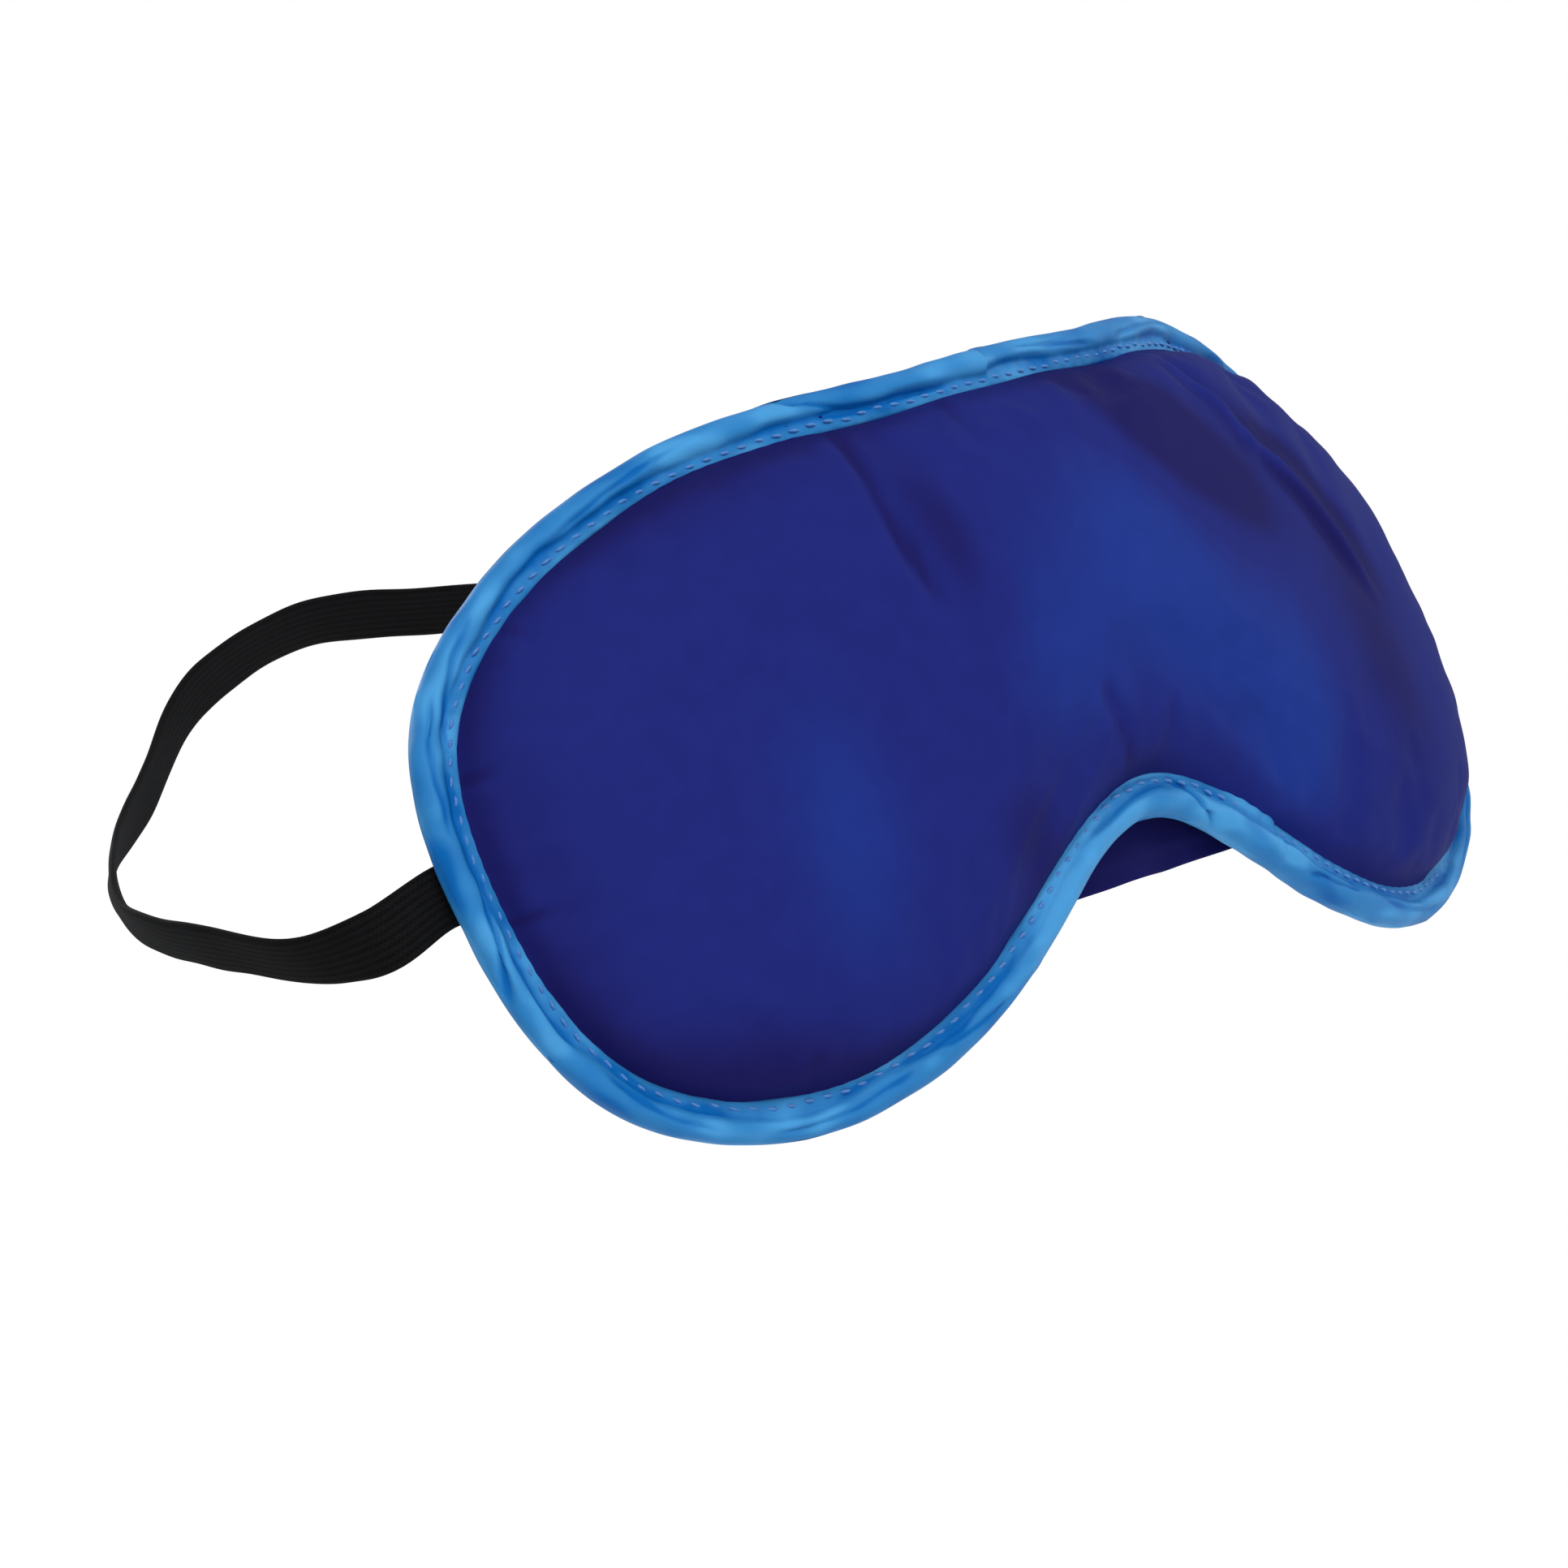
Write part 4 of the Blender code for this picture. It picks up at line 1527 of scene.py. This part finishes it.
@dataclass
class HeadStrap:
    """The elastic: two ends sewn to the back of the tips, and the free loop between them.

    The loop's route is given as in the frame: x as a share of the anchors' x, distances behind
    and above the anchors, and the lean of the upper edge towards the inside of the loop.
    """

    pattern: MaskPattern
    layers: Layers
    width: float = 0.0080
    cloth: float = 0.0010
    height: float = 0.0010
    tab: float = 0.0110
    clearance: float = 0.0012
    steps: int = 420
    bend: float = 0.016
    side_power: float = 0.30
    face_power: float = 0.75
    tack_stitches: int = 12
    tack_inset: float = 0.0054
    tack_span: float = 0.0064
    thread_radius: float = 0.00022
    binding_stitches: float = 0.0004
    route: tuple[tuple[float, float, float, float], ...] = (
        (-1.045, 0.0045, -0.0024, -8),
        (-1.066, 0.0115, -0.0020, -30),
        (-1.058, 0.0310, 0.0044, -30),
        (-0.987, 0.0515, 0.0114, -24),
        (-0.864, 0.0685, 0.0184, 5),
        (-0.703, 0.0840, 0.0254, 30),
        (-0.504, 0.0955, 0.0339, 25),
        (-0.284, 0.1020, 0.0459, 30),
        (-0.037, 0.1045, 0.0509, 46),
        (0.220, 0.1020, 0.0479, 48),
        (0.472, 0.0940, 0.0414, 42),
        (0.698, 0.0830, 0.0334, 30),
        (0.869, 0.0685, 0.0244, 18),
        (0.987, 0.0520, 0.0154, 10),
        (1.057, 0.0320, 0.0074, 4),
        (1.072, 0.0130, 0.0024, 0),
        (1.048, 0.0045, 0.0010, 0),
    )

    def level(self) -> float:
        """The height of the sewn ends' middle, behind the binding and its stitches."""
        gap = self.layers.gap
        return -(self.layers.binding_half + gap + self.binding_stitches + gap + self.cloth / 2)

    def anchor(self, side: Side) -> np.ndarray:
        """Where the loop turns at one tip."""
        reach = self.pattern.half_length + self.clearance
        return self.pattern.wrap(side.value * reach, self.height, self.level())

    def centre_line(self) -> tuple[np.ndarray, np.ndarray]:
        """The whole elastic's middle line.

        Returns:
            Points spaced evenly, and the direction across the band at each.
        """
        end = self.anchor(Side.RIGHT)
        tabs = [(self.pattern.half_length - d) for d in (self.tab, self.tab * 0.6, self.tab * 0.25)]
        left = [(*self.pattern.wrap(-u, self.height, self.level()), 0.0) for u in tabs]
        right = [(*self.pattern.wrap(u, self.height, self.level()), 0.0) for u in reversed(tabs)]
        loop = [
            (end[0] * share, end[1] + behind, end[2] + above, math.radians(lean))
            for share, behind, above, lean in self.route
        ]
        knots = np.array(left + loop + right)
        dense = open_spline(knots, np.linspace(0, 1, 3000))
        along = run_lengths(dense[:, :3])
        at = np.linspace(0, along[-1], self.steps)
        even = np.stack([np.interp(at, along, dense[:, k]) for k in range(4)], 1)
        points = even[:, :3]
        ahead = unit(np.gradient(points, axis=0))
        upright = unit(np.array([0.0, 0.0, 1.0]) - ahead * ahead[:, 2:3])
        inside = np.cross(ahead, upright)
        lean = even[:, 3:4]
        return points, upright * np.cos(lean) + inside * np.sin(lean)

    def build(self) -> list[bpy.types.Object]:
        """Builds the elastic and its tacks.

        The band is a flattened round section, cupped a little, carried along the middle line.

        Returns:
            The band and the two tacks.
        """
        points, across = self.centre_line()
        ahead = unit(np.gradient(points, axis=0))
        through = np.cross(ahead, across)
        angle = np.linspace(0, math.tau, 40, endpoint=False)
        wide = np.sign(np.cos(angle)) * np.abs(np.cos(angle)) ** self.side_power
        thick = np.sign(np.sin(angle)) * np.abs(np.sin(angle)) ** self.face_power
        s = np.linspace(0, 1, self.steps)
        length = np.linalg.norm(np.diff(points, axis=0), axis=1).sum()
        cup = ripples(s * length, 0 * s, 0.030, 41, 4, 0.0) * 0.00022
        edge = ripples(s * length, 0 * s, 0.011, 42, 4, 0.0) * 0.00008
        half = self.width / 2 + edge[:, None, None]
        rise = thick[None, :, None] * self.cloth / 2 + cup[:, None, None] * (wide**2)[None, :, None]
        band = points[:, None] + across[:, None] * (wide[None, :, None] * half)
        band = band + through[:, None] * rise
        ring = np.concatenate([wide, wide[:1]]) * self.width / 2
        run = np.linspace(0, length, self.steps)
        uv = np.stack(np.meshgrid(run, ring, indexing="ij"), -1)
        mesh = lattice_mesh("elastic_band", band, uv, round_columns=True, caps=True)
        piece = add_piece("elastic_band", face_out(mesh), STRAP_ELASTIC.material())
        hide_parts("elastic_strap", "strap_end_left", "strap_end_right")
        y = float(self.anchor(Side.RIGHT)[1])
        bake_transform(piece)
        LOG.info("elastic is %.0f mm long", length * 1000)
        return [piece, *self._tacks()]

    def _tacks(self) -> list[bpy.types.Object]:
        """Builds the two dense bar tacks that hold the sewn ends.

        Returns:
            The left tack and the right one.
        """
        made = []
        for side in Side:
            label = side.name.lower()
            step = np.linspace(-0.5, 0.5, self.tack_stitches)[:, None, None]
            t, sideways, upwards = thread_shape(self.thread_radius)
            middle = self.pattern.half_length - self.tack_inset
            u = side.value * (middle + 0.0008 * t)
            v = self.height + step * self.tack_span + 0.0003 * t + sideways
            level = self.level() - self.cloth / 2
            w = level - 0.00020 * (1 - t**2) - upwards
            name = f"strap_tack_{label}_stitches"
            piece = thread_piece(name, self.pattern.wrap(u, v, w), SEAM_THREAD)
            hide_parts(f"strap_tack_{label}")
            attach(piece, "mask")
            made.append(piece)
        return made


# ---------------------------------------------------------------- the studio


def facing(place: Point, target: Point, upward: Point) -> Matrix:
    """The placement of a camera or a light.

    Args:
        place: Where it stands.
        target: What it looks at.
        upward: The direction that it holds upright.

    Returns:
        Its matrix: right, up and back as columns, then its place.
    """
    back = unit(np.array(place) - np.array(target))
    right = unit(np.cross(np.array(upward), back))
    turned = np.eye(4)
    turned[:3, 0], turned[:3, 1], turned[:3, 2] = right, np.cross(back, right), back
    turned[:3, 3] = place
    return Matrix(turned.tolist())


@dataclass(frozen=True)
class Softbox:
    """A square light that faces the object."""

    name: str
    place: Point
    size: float
    power: float
    aim: Point = (0.0, 0.04, 0.0)

    def build(self) -> None:
        """Places the light."""
        data = bpy.data.lights.new(self.name, "AREA")
        data.shape, data.size, data.energy = "SQUARE", self.size, self.power
        light = bpy.data.objects.new(self.name, data)
        bpy.context.scene.collection.objects.link(light)
        light.matrix_world = facing(self.place, self.aim, (0.0, 0.0, 1.0))


@dataclass
class Studio:
    """Camera, plain pale floor, pale surroundings and soft lights."""

    eye: Point = (-0.6809, -0.6323, -0.0552)
    target: Point = (-0.0165, 0.0418, 0.0031)
    upward: Point = (0.20455, -0.29044, 0.93480)
    lens: float = 169.0
    air: Colour = (0.93, 0.96, 1.0)
    air_light: float = 0.46
    backdrop: Colour = (1.0, 1.0, 1.0)
    floor_colours: tuple[Colour, Colour] = ((0.90, 0.90, 0.90), (0.93, 0.93, 0.93))
    floor_drop: float = 0.20
    floor_size: float = 0.62
    softboxes: tuple[Softbox, ...] = (
        Softbox("key_softbox", (-0.60, -1.05, 0.85), 0.90, 11.0),
        Softbox("side_softbox", (1.10, -0.60, 0.25), 0.80, 2.5),
        Softbox("back_softbox", (0.2, 1.1, 0.8), 0.80, 5.0),
    )

    def build(self) -> None:
        """Places everything."""
        self._camera()
        self._surroundings()
        self._floor()
        for softbox in self.softboxes:
            softbox.build()

    def _camera(self) -> None:
        """The camera, turned about its own axis so that it holds upward upright."""
        data = bpy.data.cameras.new("camera")
        data.lens, data.sensor_width = self.lens, 36.0
        data.clip_start, data.clip_end = 0.05, 20.0
        camera = bpy.data.objects.new("camera", data)
        bpy.context.scene.collection.objects.link(camera)
        camera.matrix_world = facing(self.eye, self.target, self.upward)
        bpy.context.scene.camera = camera

    def _surroundings(self) -> None:
        """White where the camera looks past the object, and a dimmer pale light on it."""
        world = bpy.data.worlds.new("studio_air")
        world.use_nodes = True
        nodes, links = world.node_tree.nodes, world.node_tree.links
        nodes.clear()
        out = nodes.new("ShaderNodeOutputWorld")
        choice, path = nodes.new("ShaderNodeMixShader"), nodes.new("ShaderNodeLightPath")
        links.new(path.outputs["Is Camera Ray"], choice.inputs[0])
        for i, colour, strength in ((1, self.air, self.air_light), (2, self.backdrop, 1.0)):
            glow = nodes.new("ShaderNodeBackground")
            glow.inputs["Color"].default_value = (*colour, 1.0)
            glow.inputs["Strength"].default_value = strength
            links.new(glow.outputs[0], choice.inputs[i])
        links.new(choice.outputs[0], out.inputs["Surface"])
        bpy.context.scene.world = world
        bpy.context.scene.view_settings.view_transform = "Standard"

    def _floor(self) -> None:
        """A round white floor below the object.

        It is a square grid pressed into a disc: x sqrt(1 - y^2 / 2) by y sqrt(1 - x^2 / 2).
        """
        x, y = np.meshgrid(np.linspace(-1, 1, 41), np.linspace(-1, 1, 41))
        points = np.stack([x * np.sqrt(1 - y**2 / 2), y * np.sqrt(1 - x**2 / 2), 0 * x], -1)
        points = points * self.floor_size + np.array([0.0, 0.06, -self.floor_drop])
        tree = NodeTree("pale_floor")
        grain = tree.noise(tree.add("ShaderNodeTexCoord").outputs["Object"], 30.0, 2.0)
        pale = tree.finish(Base_Color=tree.mix(grain, *self.floor_colours), Roughness=0.85)
        floor = add_piece("floor", lattice_mesh("floor", points), pale)


def main() -> None:
    """Builds the mask, piece by piece, and the studio round it."""
    logging.basicConfig(level=logging.INFO, format="%(message)s")
    pattern, layers = MaskPattern(), Layers()
    Studio().build()
    body = PaddedBody(pattern, layers)
    pieces = [body.build_front(), body.build_lining(), body.build_wadding()]
    pieces += EdgeBinding(pattern, layers).build()
    pieces += NoseFlap(pattern, layers).build()
    pieces += HeadStrap(pattern, layers).build()
    for piece in pieces:
        LOG.info("%s: %d faces", piece.name, len(piece.data.polygons))


if __name__ == "__main__":
    main()
